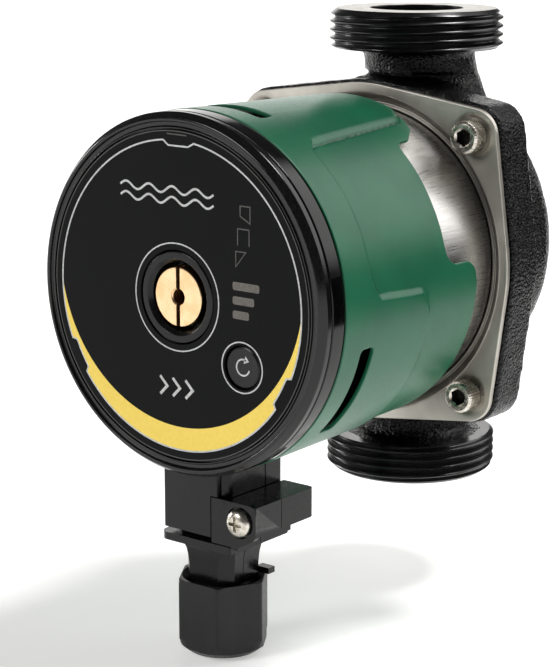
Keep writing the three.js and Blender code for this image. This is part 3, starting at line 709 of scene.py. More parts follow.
def scroll(levels, segments=120):
    """A solid with the volute's outline, from (y, inset) levels along the motor axis."""
    closed = [(levels[0][0], None), *levels, (levels[-1][0], None)]

    def place(i, j):
        y, inset = closed[j]
        angle = i * 360 / segments
        radius = 0 if inset is None else scroll_radius(angle) - inset
        return on_axis("y", radius, angle, y)

    return grid(segments, len(closed), place, True)


def duct(stations, segments=48):
    """A tube along Z from (z, y, half width, half depth) stations."""
    first, last = stations[0], stations[-1]
    closed = [(first[0], first[1], 0, 0), *stations, (last[0], last[1], 0, 0)]

    def place(i, j):
        z, y, half_x, half_y = closed[j]
        a, b = polar(1, i * 360 / segments)
        return a * half_x, y + b * half_y, z

    return grid(segments, len(closed), place, True)


def port_skirt(side):
    """The cast cone under a threaded collar."""
    profile = [(0, 48), (14.4, 48), (14.5, 52.2), (15.6, 53.6), (22.6, 54.8), (22.6, 57), (0, 57)]
    return lathe([(r, z * side) for r, z in profile], 96, "z", (0, 0.4, 0))


def housing():
    """The sand casting: flange, scroll, two necks, and the way the water takes through them."""
    upper_neck = [(55, 1.5, 14.4, 14.6), (52.5, 4, 13.8, 14.4), (47, 5.4, 14.2, 14.8),
                  (43, 5.4, 16.2, 15.4), (39, 3.8, 19.6, 15.4), (35, 2, 24, 14), (28, 0, 30, 12)]
    lower_neck = [(19, 6, 6, 4), (16, 7.4, 10.5, 7), (12, 8.6, 13.8, 10), (0, 9.4, 16.4, 12),
                  (-18, 9, 17, 12.6), (-30, 8, 17, 13.2), (-40, 5.6, 16.2, 14.6),
                  (-46, 4, 15.6, 15.2), (-52.5, 3, 14.8, 14.8), (-55, 1.5, 14.6, 14.6)]
    outside = [(-18, 0.6), (-3, 0), (0, 0.1), (3, 0.9),
               (5.5, 2.3), (7.6, 4.4), (9, 7), (SCROLL_BACK_Y, 10)]
    upper_way = [(58, 0.6, BORE_R, BORE_R), (52, 2.5, 11.3, 11.3), (45, 2, 11, 10), (36, -5, 8, 5)]
    lower_way = [(9, 9.5, 8.5, 4.5), (0, 10.5, 11.5, 7), (-25, 8.5, 12, 8.5), (-42, 4, 11.5, 10.5),
                 (-52, 2.5, 11.3, 11.3), (-58, 0.6, BORE_R, BORE_R)]
    obj = make("housing_casting", prism(flange_outline(0.8), CASTING_FRONT_Y, CASTING_EAR_Y))
    necks = (duct(upper_neck), duct(lower_neck))
    combine(obj, "UNION", scroll(outside), *necks, port_skirt(1), port_skirt(-1))
    seats = [rod(45.6, -26, -20.5), rod(44.4, -21, -16.4), rod(29, -17, -12)]
    chamber = scroll([(-12.5, 4.5), (-4, 4.5), (-1, 7.5)])
    suction_eye = rod(10.9, -3, 9)
    ports = [rod(BORE_R, 56, 60, "z"), rod(BORE_R, -60, -56, "z")]
    corners = [(x, z) for x in (-BOLT_OFFSET, BOLT_OFFSET) for z in (-BOLT_OFFSET, BOLT_OFFSET)]
    bolt_holes = [rod(3, -26, -11.8, "y", (x, 0, z), 24) for x, z in corners]
    ways = [duct(upper_way), duct(lower_way)]
    combine(obj, "DIFFERENCE", *seats, chamber, suction_eye, *ways, *ports, *bolt_holes)
    modify(obj, "REMESH", mode="VOXEL", voxel_size=0.75 * MM)
    modify(obj, "SMOOTH", factor=0.5, iterations=5)
    roughen(obj)
    return shade(obj, 180)


def roughen(obj):
    """Lift a casting's surface in and out a little, as sand leaves it."""
    mesh = obj.data
    normals = [vertex.normal.copy() for vertex in mesh.vertices]
    for vertex, normal in zip(mesh.vertices, normals):
        spot = vertex.co / MM
        height = 0.1 * noise.noise(spot / 1.6) + 0.12 * noise.noise(spot / 4.5)
        vertex.co += normal * (height - 0.05) * MM


def thread(phase, top_r, depth):
    """The radius of a thread at a phase in turns, with round crests and roots."""
    return top_r - depth * (0.5 - 0.5 * math.cos(math.tau * phase))


def threaded_rod(
    top_r, depth, pitch, low, high, rest, limit, columns=144, per_turn=12, centre=(0, 0, 0),
):
    """A right-handed thread from low to high on Z, closed by the (radius, z) points of rest.

    The grid's rows climb with the thread, so that each crest is one smooth line."""
    turns = math.ceil((high - low) / pitch) + 1
    rows = turns * per_turn + 1

    def place(i, j):
        angle = i * 360 / columns
        if j >= rows:
            radius, z = rest[j - rows]
            return on_axis("z", radius, angle, z, centre)
        z = low + pitch * (j / per_turn + i / columns - 1)
        z = min(max(z, low), high)
        radius = min(thread(z / pitch - i / columns, top_r, depth), limit(z))
        return on_axis("z", radius, angle, z, centre)

    return grid(columns + 1, rows + len(rest), place, False, True)


def port_collar(side):
    """A threaded collar with its faced end: the upper one, or for the lower the same turned over."""
    chamfer_r = 21.9

    def limit(z):
        return min(chamfer_r + (PORT_FACE_Z - z) * 1.3, THREAD_R - 1.1 + (z - THREAD_FOOT_Z) * 1.6)

    rest = rounded([(BORE_R + 3, PORT_FACE_Z, 0), (BORE_R, PORT_FACE_Z, 0.35), (BORE_R, 55.5, 0),
                    (15, THREAD_FOOT_Z, 0)])
    points, faces = threaded_rod(
        THREAD_R, THREAD_DEPTH, THREAD_PITCH, THREAD_FOOT_Z, PORT_FACE_Z, rest, limit, 180,
    )
    points = [(x, y * side, z * side) for x, y, z in points]
    obj = make("port_collar_upper" if side > 0 else "port_collar_lower", (points, faces))

    def faced(face):
        return abs(face.normal.z) > 0.9 and abs(face.center.z) > (PORT_FACE_Z - 0.2) * MM

    paint(obj, "thread_paint", "machined_iron", faced)
    return shade(obj, 50)


# ------------------------------------------------------------------ clamping plate and screws


def clamping_plate():
    """The pressed plate: flat ears, sunk screw seats, and a middle that steps back to the shell."""
    inner = rounded([
        (CAN_R + 0.15, -20.2, 0), (CAN_R + 0.15, -21.7, 0.25), (CAN_R + 0.8, -21.7, 0.3),
        (CAN_R + 1.2, -21.1, 0.3), (43.7, PLATE_FRONT_Y, 0.7), (44.9, PLATE_FRONT_Y, 0),
    ], arc_steps=4)
    flat = 14
    edge = 0.5

    def stations(angle):
        outer = flange_radius(angle, 0)
        across = [44.9 + (outer - edge - 44.9) * k / flat for k in range(1, flat + 1)]
        rim = rounded([
            (outer - edge, PLATE_FRONT_Y, 0), (outer, PLATE_FRONT_Y, 0.35),
            (outer, PLATE_BACK_Y, 0.15), (outer - edge, PLATE_BACK_Y, 0),
        ])
        under = [(44.9, PLATE_BACK_Y), (43.6, -20.2)]
        return [*inner, *[(r, PLATE_FRONT_Y) for r in across], *rim[1:], *under]

    rows = len(stations(0))
    lines = [stations(angle) for angle in FLANGE_ANGLES]
    front_rows = range(len(inner), len(inner) + flat)

    def place(i, j):
        radius, y = lines[i][j]
        x, _, z = on_axis("y", radius, FLANGE_ANGLES[i], 0)
        if j in front_rows:
            off = math.hypot(abs(x) - BOLT_OFFSET, abs(z) - BOLT_OFFSET)
            y += SPOT_DEPTH * (1 - smoothstep(4.7, 5.9, off))
        return x, y, z

    return shade(make("clamping_plate", grid(len(FLANGE_ANGLES), rows, place, True, True)), 60)


def cap_screw(name, x, z):
    """A socket head cap screw with a knurled head."""
    seat = PLATE_FRONT_Y + SPOT_DEPTH - 0.05
    top = PLATE_FRONT_Y - 4.4
    head = rounded([
        (0, top, 0), (3.6, top, 0.2), (4.2, top + 0.5, 0.25), (4.2, seat, 0.2), (2.3, seat, 0),
    ])
    shank = [(2.3, -13.5), (1.9, -13), (0, -13)]
    profile = head + shank
    knurled = {j for j, (r, y) in enumerate(profile) if r > 4.1 and y < seat - 0.1}

    def ripple(i, j):
        return 0.09 if j in knurled and i % 4 in (0, 1) else 0.0

    obj = make(name, lathe(profile, 144, "y", (x, 0, z), ripple))
    hexagon = [polar(2.31, 90 + 60 * k) for k in range(6)]
    hexagon = [(a + x, b + z) for a, b in hexagon]
    mouth = [(0, top - 0.4), (2.75, top - 0.1), (2.0, top + 0.45), (0, top + 0.45)]
    combine(obj, "DIFFERENCE", prism(hexagon, top - 1, top + 2.8), lathe(mouth, 48, "y", (x, 0, z)))

    def in_socket(face):
        a, y, b = face.center / MM
        return math.hypot(a - x, b - z) < 2.32 and top + 0.3 < y < top + 3

    # The inside of the hex socket gets painted shade: a dark, dull finish.
    paint(obj, "zinc", "steel_recess_shade", in_socket)
    return shade(obj, 30)


# ------------------------------------------------------------------ motor shell


def motor_can():
    """The deep-drawn motor shell, with the foot that the plate clamps."""
    wall = 1.2
    profile = rounded([
        (CAN_R - wall, -19.4, 0), (43.5, -19.4, 0.3), (43.5, -20.5, 0.3), (CAN_R, -20.5, 0.25),
        (CAN_R, CAN_END_Y, 2.0), (8.6, CAN_END_Y, 0.2), (8.6, CAN_END_Y + wall, 0.2),
        (CAN_R - wall, CAN_END_Y + wall, 1.0),
    ])
    return shade(make("motor_can", lathe(profile, 180)))


# ------------------------------------------------------------------ green cover

COVER_MEAN_R = 44.8
# The millimetres of cover surface for each degree round it.
DEGREE = math.radians(COVER_MEAN_R)
VENT_CENTRES = (-29.5, 90)
VENT_CENTRE_Y = -82.2
# Half the length of a vent slot round the cover, and half its width.
VENT_HALF = (13.1, 2.7)
EDGE_ROUND = 0.3
PANEL_FRONT_Y = -81.9
# The angles of the feet of a panel's upper and lower walls, and how wide the walls are.
PANEL_UPPER, UPPER_WALL = 56.5, 3.0
PANEL_LOWER, LOWER_WALL = 3.5, 2.1

# The corners of the notch that shows the motor shell on the right side, as (angle, y, radius).
NOTCH = [
    (-2, -30, 0), (-1, -33.6, 0), (3.4, -34.3, 3), (6.3, -37.2, 4), (6.4, -47.4, 6), (29, -47.6, 0),
    (52.4, -47.0, 4.5), (52.9, -40.6, 2.5), (57.5, -35.6, 3), (63, -33.3, 0), (63, -30, 0),
]
# Where the surface steps down towards the rear, below the panel, as (angle, y).
REAR_STEP = [(-90, -56.5), (-8, -56.5), (-3, -57.6), (0, -59.8), (3, -61)]


def folded(angle):
    """The cover is the same on both sides: an angle brought to the right side, -90 to 90."""
    angle = (angle + 90) % 360 - 90
    return 180 - angle if angle > 90 else angle


def outside_polygon(corners, x, y):
    """Distance from a polygon, negative inside it."""
    nearest = math.inf
    inside = False
    for (x0, y0), (x1, y1) in zip(corners, corners[1:] + corners[:1]):
        dx, dy = x1 - x0, y1 - y0
        t = min(max(((x - x0) * dx + (y - y0) * dy) / (dx * dx + dy * dy), 0), 1)
        nearest = min(nearest, math.hypot(x - x0 - t * dx, y - y0 - t * dy))
        if (y0 > y) != (y1 > y) and x < x0 + (y - y0) / (y1 - y0) * dx:
            inside = not inside
    return -nearest if inside else nearest


NOTCH_MM = rounded([(angle * DEGREE, y, radius) for angle, y, radius in NOTCH], True, 6)


def cover_margin(angle, y):
    """How far a point of the cover is from its nearest edge, negative where there is none of it."""
    side = folded(angle)
    margin = min(y - COVER_FRONT_Y, COVER_REAR_Y - y, outside_polygon(NOTCH_MM, side * DEGREE, y))
    corner = 1.3
    for centre in VENT_CENTRES:
        along = abs(side - centre) * DEGREE - VENT_HALF[0] + corner
        across = abs(y - VENT_CENTRE_Y) - VENT_HALF[1] + corner
        outside = math.hypot(max(along, 0), max(across, 0)) + min(max(along, across), 0) - corner
        margin = min(margin, outside)
    return margin


def cover_radius(angle, y):
    """The outside of the cover: a slight taper, with a sunk panel on each side."""
    side = folded(angle)
    taper = (COVER_REAR_Y - y) / (COVER_REAR_Y - COVER_FRONT_Y)
    radius = COVER_REAR_R + (COVER_FRONT_R - COVER_REAR_R) * taper
    # The panel's front wall, with a rounded corner at each end.
    front_line = PANEL_FRONT_Y + 0.075 * max(side - 51, 0) ** 2 + 0.04 * min(max(12 - side, 0), 10) ** 2
    front = smoothstep(0, 0.45, y - front_line)
    # Its upper and lower walls lean, and spread towards the rear.
    upper_foot = PANEL_UPPER + 0.14 * (y + 76.6) + 0.18 * max(y + 38.5, 0) ** 2
    upper = min(max((upper_foot + UPPER_WALL - side) / UPPER_WALL, 0), 1) ** 1.5
    lower_foot = PANEL_LOWER - 0.094 * (y + 76)
    lower = min(max((side - lower_foot + LOWER_WALL) / LOWER_WALL, 0), 1)
    rear = smoothstep(0, 1.6, y - between(REAR_STEP, side))
    sunk = min(front, upper, max(lower, rear))
    # A fine groove runs along the foot of the upper and front walls.
    upper_groove = math.exp(-(((side - upper_foot + 0.3) / 0.4) ** 2)) * front
    front_groove = math.exp(-(((y - front_line - 0.65) / 0.3) ** 2)) * min(upper, lower)
    return radius - PANEL_DEPTH * sunk - 0.35 * upper_groove - 0.3 * front_groove


def cut_sheet(across, along, margin):
    """Grid cells in (u, v), cut along the line where margin(u, v) is zero; u goes round.

    Returns the points, the faces, and the numbers of the points on the cut line."""
    values = [[margin(u, v) for v in along] for u in across]
    count = len(across)
    numbers, points, faces, on_line = {}, [], [], set()

    def point(key, u, v, cut):
        if key not in numbers:
            numbers[key] = len(points)
            points.append((u, v))
            if cut:
                on_line.add(numbers[key])
        return numbers[key]

    for i in range(count):
        for j in range(len(along) - 1):
            ring = [(i, j), (i + 1, j), (i + 1, j + 1), (i, j + 1)]
            face = []
            for (i0, j0), (i1, j1) in zip(ring, ring[1:] + ring[:1]):
                first, second = values[i0 % count][j0], values[i1 % count][j1]
                u0 = across[i0 % count] + 360 * (i0 // count)
                u1 = across[i1 % count] + 360 * (i1 // count)
                if first > 0:
                    face.append(point((i0 % count, j0), u0, along[j0], False))
                if (first > 0) != (second > 0):
                    t = first / (first - second)
                    key = tuple(sorted([(i0 % count, j0), (i1 % count, j1)]))
                    u = u0 + (u1 - u0) * t
                    v = along[j0] + (along[j1] - along[j0]) * t
                    face.append(point(key, u, v, True))
            if len(face) > 2:
                faces.append(tuple(face))
    return points, faces, on_line


def cover():
    """The moulded cover: a thin sheet, open at its notches and vents, with rounded edges."""
    half = steps((-90, -50, 2.5), (-50, -44, 0.8), (-44, -16, 1.75), (-16, -11, 0.8), (-11, 0, 1.4),
                 (0, 13.6, 0.45), (13.6, 47, 1.8), (47, 71, 0.42), (71, 76, 0.8), (76, 90, 2))
    across = half + [180 - angle for angle in half[-2:0:-1]]
    along = steps((-93.3, -91.5, 0.3), (-91.5, -85.6, 1.3), (-85.6, -78, 0.24), (-78, -61.5, 1.9),
                  (-61.5, -54, 0.6), (-54, -49.8, 1.2), (-49.8, -33.1, 0.42))
    points, faces, on_line = cut_sheet(across, along, lambda u, v: cover_margin(u, v) - EDGE_ROUND)

    def moved(u, v, distance):
        """A point pushed off the sheet, straight towards the nearest edge."""
        small = 0.05
        du = (cover_margin(u + small / DEGREE, v) - cover_margin(u - small / DEGREE, v)) / (2 * small)
        dv = (cover_margin(u, v + small) - cover_margin(u, v - small)) / (2 * small)
        size = math.hypot(du, dv) or 1.0
        return u - du / size * distance / DEGREE, v - dv / size * distance

    outer = [on_axis("y", cover_radius(u, v), u, v) for u, v in points]
    pushed = {i: moved(*points[i], EDGE_ROUND) for i in on_line}
    inner = []
    for i, (u, v) in enumerate(points):
        u, v = pushed.get(i, (u, v))
        inner.append(on_axis("y", cover_radius(u, v) - COVER_WALL, u, v))
    count = len(points)
    vertices = outer + inner
    quads = faces + [tuple(count + i for i in reversed(face)) for face in faces]
    # Each open edge of the outer sheet is closed by a rounded lip down to the inner one.
    lips = {}
    shares = (0.3, 0.7, 1.0)
    for share in shares:
        for i in on_line:
            u, v = moved(*points[i], EDGE_ROUND * math.sin(share * math.pi / 2))
            drop = EDGE_ROUND * (1 - math.cos(share * math.pi / 2))
            lips[i, share] = len(vertices)
            vertices.append(on_axis("y", cover_radius(*points[i]) - drop, u, v))
    edges = {edge: None for face in faces for edge in zip(face, face[1:] + face[:1])}
    for a, b in edges:
        if (b, a) in edges or a not in on_line or b not in on_line:
            continue
        rails = [(i, *[lips[i, share] for share in shares], count + i) for i in (a, b)]
        rungs = list(zip(*rails))
        for (a0, b0), (a1, b1) in zip(rungs, rungs[1:]):
            quads.append((b0, a0, a1, b1))
    return shade(make("cover", (vertices, quads)), 42)


# ------------------------------------------------------------------ control head


def head_base():
    """The cup of the control head, with the glossy band round its mouth."""
    wall = 40.9
    profile = rounded([
        (8.6, -72.4, 0), (8.6, -71, 0.2), (42.3, -71, 1.2), (42.3, BAND_BACK_Y, 0.2),
        (RIM_R, BAND_BACK_Y, 0.55), (RIM_R, BAND_FRONT_Y, 0.4),
        (wall, BAND_FRONT_Y, 0.2), (wall, -72.4, 0.8),
    ], arc_steps=4)
    return shade(make("head_base", lathe(profile, 180)))


def head_window():
    """The front window: a rounded rim, a groove, and the floor that carries the label."""
    profile = rounded([
        (38.6, -95, 0), (40.6, -95, 0.2), (40.6, -98.1, 0.1), (RIM_R, -98.1, 0.3), (RIM_R, -99.8, 0.8),
        (44.0, FRONT_Y, 0.8), (43.2, FRONT_Y, 0.3), (42.9, -100.7, 0.3), (41.9, -100.7, 0.2),
        (41.7, -101.2, 0.15), (41.4, -101.2, 0.1), (41.35, -100.2, 0), (COLLAR_R + 0.3, -100.2, 0.1),
        (COLLAR_R + 0.3, -98.4, 0), (38.6, -98.4, 0),
    ], arc_steps=5)
    obj = make("head_window", lathe(profile, 180))
    x, z = BUTTON
    combine(obj, "DIFFERENCE", rod(5.75, -103, -97, "y", (x, 0, z)))
    return shade(obj)


def label():
    """The printed foil, with a hole for the button."""
    profile = rounded([
        (COLLAR_R + 0.3, -100.5, 0), (LABEL_R, -100.5, 0), (LABEL_R, LABEL_Y, 0.2),
        (COLLAR_R + 0.3, LABEL_Y, 0.2),
    ])
    obj = make("label", lathe(profile, 180))
    x, z = BUTTON
    combine(obj, "DIFFERENCE", rod(5.55, -103, -99, "y", (x, 0, z)))
    return shade(obj, 30)


# How far a print stands out of its surface, and how far it goes in.
PRINT_LIFT = 0.03
PRINT_SINK = 0.01


def stamp(outline, level=LABEL_Y):
    """A flat print with an outline of (x, z) points."""
    return prism(outline, level - PRINT_LIFT, level + PRINT_SINK)


def strip(left, right, closed=False, level=LABEL_Y):
    """A print between two lines of (x, z) points."""
    low, high = level - PRINT_LIFT, level + PRINT_SINK
    corners = [(left, low), (right, low), (right, high), (left, high)]

    def place(i, j):
        line, y = corners[j]
        return line[i][0], y, line[i][1]

    points, faces = grid(len(left), 4, place, closed, True)
    if not closed:
        last = 4 * len(left) - 4
        faces += [(0, 1, 2, 3), (last, last + 1, last + 2, last + 3)]
    return points, faces


def ribbon(line, width, closed=False, level=LABEL_Y):
    """A printed line of constant width along (x, z) points."""
    count = len(line)
    left, right = [], []
    for i, (x, z) in enumerate(line):
        before = line[i - 1] if closed or i else line[i]
        after = line[(i + 1) % count] if closed or i < count - 1 else line[i]
        back = Vector((x - before[0], z - before[1]))
        ahead = Vector((after[0] - x, after[1] - z))
        if back.length == 0:
            back = ahead
        if ahead.length == 0:
            ahead = back
        back.normalize()
        ahead.normalize()
        along = (back + ahead).normalized()
        half = width / 2 / max(along.dot(ahead), 0.5)
        side = Vector((-along.y, along.x)) * half
        left.append((x + side.x, z + side.y))
        right.append((x - side.x, z - side.y))
    return strip(left, right, closed, level)


def arc(radius, start, end, step=2.0, centre=(0, 0)):
    count = max(2, round(abs(end - start) / step))
    angles = [start + (end - start) * i / count for i in range(count + 1)]
    return [(centre[0] + polar(radius, a)[0], centre[1] + polar(radius, a)[1]) for a in angles]


def circle(radius, centre=(0, 0), step=2.0):
    return arc(radius, 0, 360, step, centre)[:-1]


RING_R = 38.6
# The inner edge of the crescent is a circle round a point above the middle.
CRESCENT_Z = 6.4
CRESCENT_R = 39.1
# The shallow bite out of the crescent's outer edge on each side, between two angles.
BITE_FROM, BITE_TO, BITE_DEPTH = -36.3, -23.7, 1.3


def crescent_edge(angle):
    """The outer edge of the yellow crescent at an angle from the right, in the lower half."""
    side = angle if angle > -90 else -180 - angle
    rise = smoothstep(BITE_FROM - 0.5, BITE_FROM + 0.5, side)
    fall = 1 - smoothstep(BITE_TO - 0.5, BITE_TO + 0.5, side)
    return RING_R - BITE_DEPTH * rise * fall


def crescent_angles():
    """The crescent runs from where its two circles cross, round the bottom."""
    overlap = RING_R**2 + CRESCENT_Z**2 - CRESCENT_R**2
    cross = math.degrees(math.asin(overlap / (2 * RING_R * CRESCENT_Z)))
    return [cross - 2 - i for i in range(int(181 + 2 * cross) - 3)]


def crescent():
    """The yellow crescent."""
    outer = [polar(crescent_edge(a), a) for a in crescent_angles()]
    inner = []
    for x, z in outer:
        length = math.hypot(x, z)
        dx, dz = x / length, z / length
        # Where the ray at this angle meets the inner circle.
        inside = dz * CRESCENT_Z + math.sqrt(CRESCENT_R**2 - (dx * CRESCENT_Z) ** 2)
        inside = min(inside, length - 0.05)
        inner.append((dx * inside, dz * inside))
    return strip(outer, inner)


def printed_ring():
    """The thin ring round the face: a notch at the top, and the crescent's edge at the bottom."""
    top = [(5.9, 38.15), (4.1, 37.2), (-2.2, 37.2), (-3.8, 38.4)]
    right = arc(RING_R, -8, 81, 2.0)
    left = arc(RING_R, 96, 188, 2.0)
    bottom = [polar(crescent_edge(a), a) for a in range(-171, -8, 1)]
    return ribbon(right + top + left + bottom, 0.42, True, LABEL_Y - 0.005)


def icon_wave(centre, width):
    """Two rows of water waves."""
    x0, z0 = centre
    crests, samples = 4, 48
    rows = []
    for drop in (0, 2.6):
        line = []
        for i in range(samples + 1):
            along = i / samples
            height = 0.9 * math.sin(along * crests * math.tau)
            line.append((x0 + (along - 0.5) * width, z0 - drop + height))
        rows.append(ribbon(line, 0.55))
    return together(*rows)


def icon_flow(centre, size):
    """Three chevrons pointing right."""
    x0, z0 = centre
    shapes = []
    for k in (-1, 0, 1):
        x = x0 + k * size * 0.9
        tail, tip = x - size * 0.25, x + size * 0.25
        shapes.append(ribbon([(tail, z0 + size / 2), (tip, z0), (tail, z0 - size / 2)], 0.75))
    return together(*shapes)


def icon_cycle(centre, radius, level):
    """A round arrow: press to step to the next setting."""
    line = arc(radius, 60, 345, 12, centre)
    x, z = line[0]
    head = [(x - 0.2, z + 1.2), (x + 0.9, z - 0.1), (x - 0.8, z - 0.75)]
    return together(ribbon(line, 0.4, False, level), stamp(head, level))


def grey_prints():
    """The grey rings and marks of the label."""
    return together(
        printed_ring(),
        ribbon(circle(13.4, step=3), 0.34, True),
        ribbon(circle(6.25, BUTTON, 4), 0.34, True),
        icon_wave((-3, 26.4), 30),
        icon_flow((-0.4, -22.8), 4.6),
    )


def ghost_prints():
    """Three unlit setting symbols, a faint line round the rim that is a painted highlight of the
    window's edge, and a mark at its top.
    """
    slope = [(20.2, 24.6), (23.2, 24.6), (23.2, 20.6), (20.2, 22.2)]
    step = [(19.4, 15.1), (19.4, 19.1), (22.9, 19.1), (22.9, 15.1)]
    arrow = [(18.8, 13.6), (21.9, 13.6), (18.8, 9.9)]
    mark = [(-2.6, 40.0), (3.6, 39.9)]
    return together(
        ribbon(slope, 0.3, True), ribbon(step, 0.3), ribbon(arrow, 0.3, True), ribbon(mark, 0.3),
        # Painted highlight: a faint light ring standing in for light caught by the window's inner edge.
        ribbon(circle(40.75, step=3), 0.22, True),
    )


def bar_prints():
    """The light bars, left-aligned and each shorter than the one above it."""
    left, top, pitch, half = 17.8, 5.2, 3.5, 1.0
    shapes = []
    for i, length in enumerate((8.2, 6.6, 5.0)):
        z = top - i * pitch
        corners = [(a, b, 0.5) for a, b in rectangle(left, z - half, left + length, z + half)]
        shapes.append(stamp(rounded(corners, True)))
    return together(*shapes)


def button():
    """The push button: a shallow dished disc on a stem."""
    x, z = BUTTON
    profile = rounded([
        (0, -100.7, 0), (3.2, -100.72, 1), (4.7, -100.85, 0.2), (5.2, -100.6, 0.25), (5.2, -98, 0.1),
        (6.6, -98, 0.1), (6.6, -97, 0.1), (2.5, -97, 0.2), (2.5, -92.3, 0.1), (0, -92.3, 0),
    ])
    return shade(make("button", lathe(profile, 72, "y", (x, 0, z))))


def plug_ring():
    """The collar round the vent plug."""
    profile = rounded([
        (8.6, -91, 0.1), (COLLAR_R, -91, 0.1), (COLLAR_R, -101.0, 0.5), (9.6, -101.0, 0.3),
        (8.6, -100.0, 0.3),
    ], True)
    return shade(make("plug_ring", lathe(profile, 120)))


def vent_plug():
    """The turned brass plug, with a slot and a round well."""
    front, shoulder, end = -100.6, -91.5, -79
    profile = rounded([
        (0, front, 0), (BLEED_R, front, 0.45), (BLEED_R, shoulder, 0.2),
        (5.6, shoulder, 0.1), (5.6, end, 0.4), (0, end, 0),
    ])
    obj = make("vent_plug", lathe(profile, 120))
    slot = box((-0.62, front - 1, -9), (0.62, front + 2.4, 9))
    well = [(0, front - 1), (2.2, front - 1), (2.2, front + 0.1), (1.9, front + 0.4),
            (1.9, front + 4.4), (0, front + 5.2)]
    combine(obj, "DIFFERENCE", slot, lathe(well, 48))

    def in_recess(face):
        a, y, b = face.center / MM
        return math.hypot(a, b) < 7.3 and front + 0.3 < y < front + 5.3

    # The slot and the round well get painted shade: a dark, dull finish.
    paint(obj, "brass", "brass_recess_shade", in_recess)
    return shade(obj, 30)


# ------------------------------------------------------------------ power socket and plug


def at_pins(half_x, half_y, low, high):
    """One upright box for each of the three pins."""
    return [
        box((x - half_x, PLUG_Y - half_y, low), (x + half_x, PLUG_Y + half_y, high))
        for x in PIN_XS
    ]


def socket():
    """The socket block under the head, with its front plate cut back for the plug's screw boss."""
    half, front, back = 10.0, -95.8, -72.0
    step = front + 1.6
    block = [(-half, step, 0.5), (half, step, 2.4), (half, back, 1.2), (-half, back, 1.2)]
    plate = [(-half, front, 0.9), (8.0, front, 0.3), (8.0, front + 2.4, 0), (-half, front + 2.4, 0)]
    obj = make("socket", prism(rounded(block, True), SOCKET_BOTTOM_Z, BLOCK_TOP_Z, "z"))
    combine(obj, "UNION", prism(rounded(plate, True), SOCKET_BOTTOM_Z, BLOCK_TOP_Z, "z"))
    head = rod(RIM_R + 0.45, -104, -60, segments=180)
    boss_room = box((5.8, -97, -70), (11, -93.8, -50.8))
    mouth = box((-7.5, -92.3, -70), (7.5, -75.3, -49.2))
    side_groove = box((9.6, -79.3, -70), (11, -78.9, BLOCK_TOP_Z))
    combine(obj, "DIFFERENCE", head, boss_room, mouth, side_groove)
    pin_holder = box((-7, -90, -49.2), (7, -76, -43))
    combine(obj, "UNION", pin_holder)
    combine(obj, "DIFFERENCE", *at_pins(1.5, 0.7, -52, BLOCK_TOP_Z))
    soften(obj, 0.22)
    return shade(obj, 30)


def neck():
    """The plug's neck: a chamfered square that sweeps in under the flange."""
    levels = [(-63.6, 10.2), (-65.1, 10.1), (-65.5, 9.6), (-66.2, 9.0),
              (-67.4, 8.45), (-69.2, 8.05), (-72, 7.8), (-77.4, 7.7)]
    closed = [(levels[0][0], 0), *levels, (levels[-1][0], 0)]

    def place(i, j):
        z, half = closed[j]
        cut = half * 0.62
        x, y = [(half, cut), (cut, half), (-cut, half), (-half, cut),
                (-half, -cut), (-cut, -half), (cut, -half), (half, -cut)][i]
        return x, PLUG_Y + y, z

    return grid(8, len(closed), place, True)


def spigot():
    """The threaded end that the gland nut screws on."""
    bottom, top = -88.0, -76.6
    return threaded_rod(
        8.95, 0.7, 2.0, bottom, top, [(0, top), (0, bottom)],
        lambda z: min(8.3 + (z - bottom), 8.3 + (top - z)), 72, 8, (0, PLUG_Y, 0),
    )


def plug_shell(name, front):
    """Half of the power plug, on one side of its split line."""
    x, z = SCREW
    flange = [(-11, -96.2, 2.6), (12.4, -96.2, 0.6), (12.4, -72, 1.2), (-11, -72, 1.2)]
    obj = make(name, prism(rounded(flange, True, 5), -65.1, -63.1, "z"))
    wing = [(10.4, -95.8, 0.2), (20.3, -95.8, 0.4), (20.3, -72, 1.4), (10.4, -72, 0.4)]
    boss = rounded([
        (6.1, -63.4, 0), (13.5, -63.4, 0.5), (20.3, -59.6, 2.2), (20.3, -51.1, 2.2), (6.1, -51.1, 0.3),
    ], True, 6)
    body = box((-7.2, -92, -64), (7.2, -75.6, -49.5))
    web = box((10.4, -94.5, -64), (13.5, -73, -58.5))
    latch = box((7, -79, -75), (11, -76.5, -73.4))
    combine(
        obj, "UNION",
        body, prism(rounded(wing, True), -59.1, -51.4, "z"), web, prism(boss, -95.8, -94.1),
        neck(), spigot(), latch,
    )
    cord_way = rod(6.0, -90, -60, "z", (0, PLUG_Y, 0), 50)
    screw_head = rod(4.1, -97, -95.0, "y", (x, 0, z))
    screw_hole = rod(2.0, -97, -74, "y", (x, 0, z), 32)
    combine(
        obj, "DIFFERENCE", cord_way, *at_pins(2.1, 1.6, -62, -48), screw_head, screw_hole,
    )
    gap = 0.1
    near, far = (-120, SPLIT_Y - gap) if front else (SPLIT_Y + gap, 0)
    combine(obj, "INTERSECT", box((-40, near, -120), (40, far, 0)))
    soften(obj, 0.2)
    return shade(obj, 30)


def pan_screw():
    """The cross-recessed screw that closes the plug."""
    x, z = SCREW
    face, seat = -98.0, -95.5
    dome = [(0, face), (1.3, face + 0.06), (2.3, face + 0.26), (3.0, face + 0.66), (3.45, face + 1.3),
            (3.6, face + 1.9), (3.5, seat), (1.6, seat), (1.6, -76), (0, -76)]
    obj = make("plug_closing_screw", lathe(dome, 72, "y", (x, 0, z)))
    arms = []
    for long, short in ((2.0, 0.42), (0.42, 2.0)):
        outline = rectangle(x - long, z - short, x + long, z + short)
        arms.append(prism(outline, face - 1, face + 1.5))
    combine(obj, "DIFFERENCE", *arms)
    soften(obj, 0.08, angle=50)
    return shade(obj)


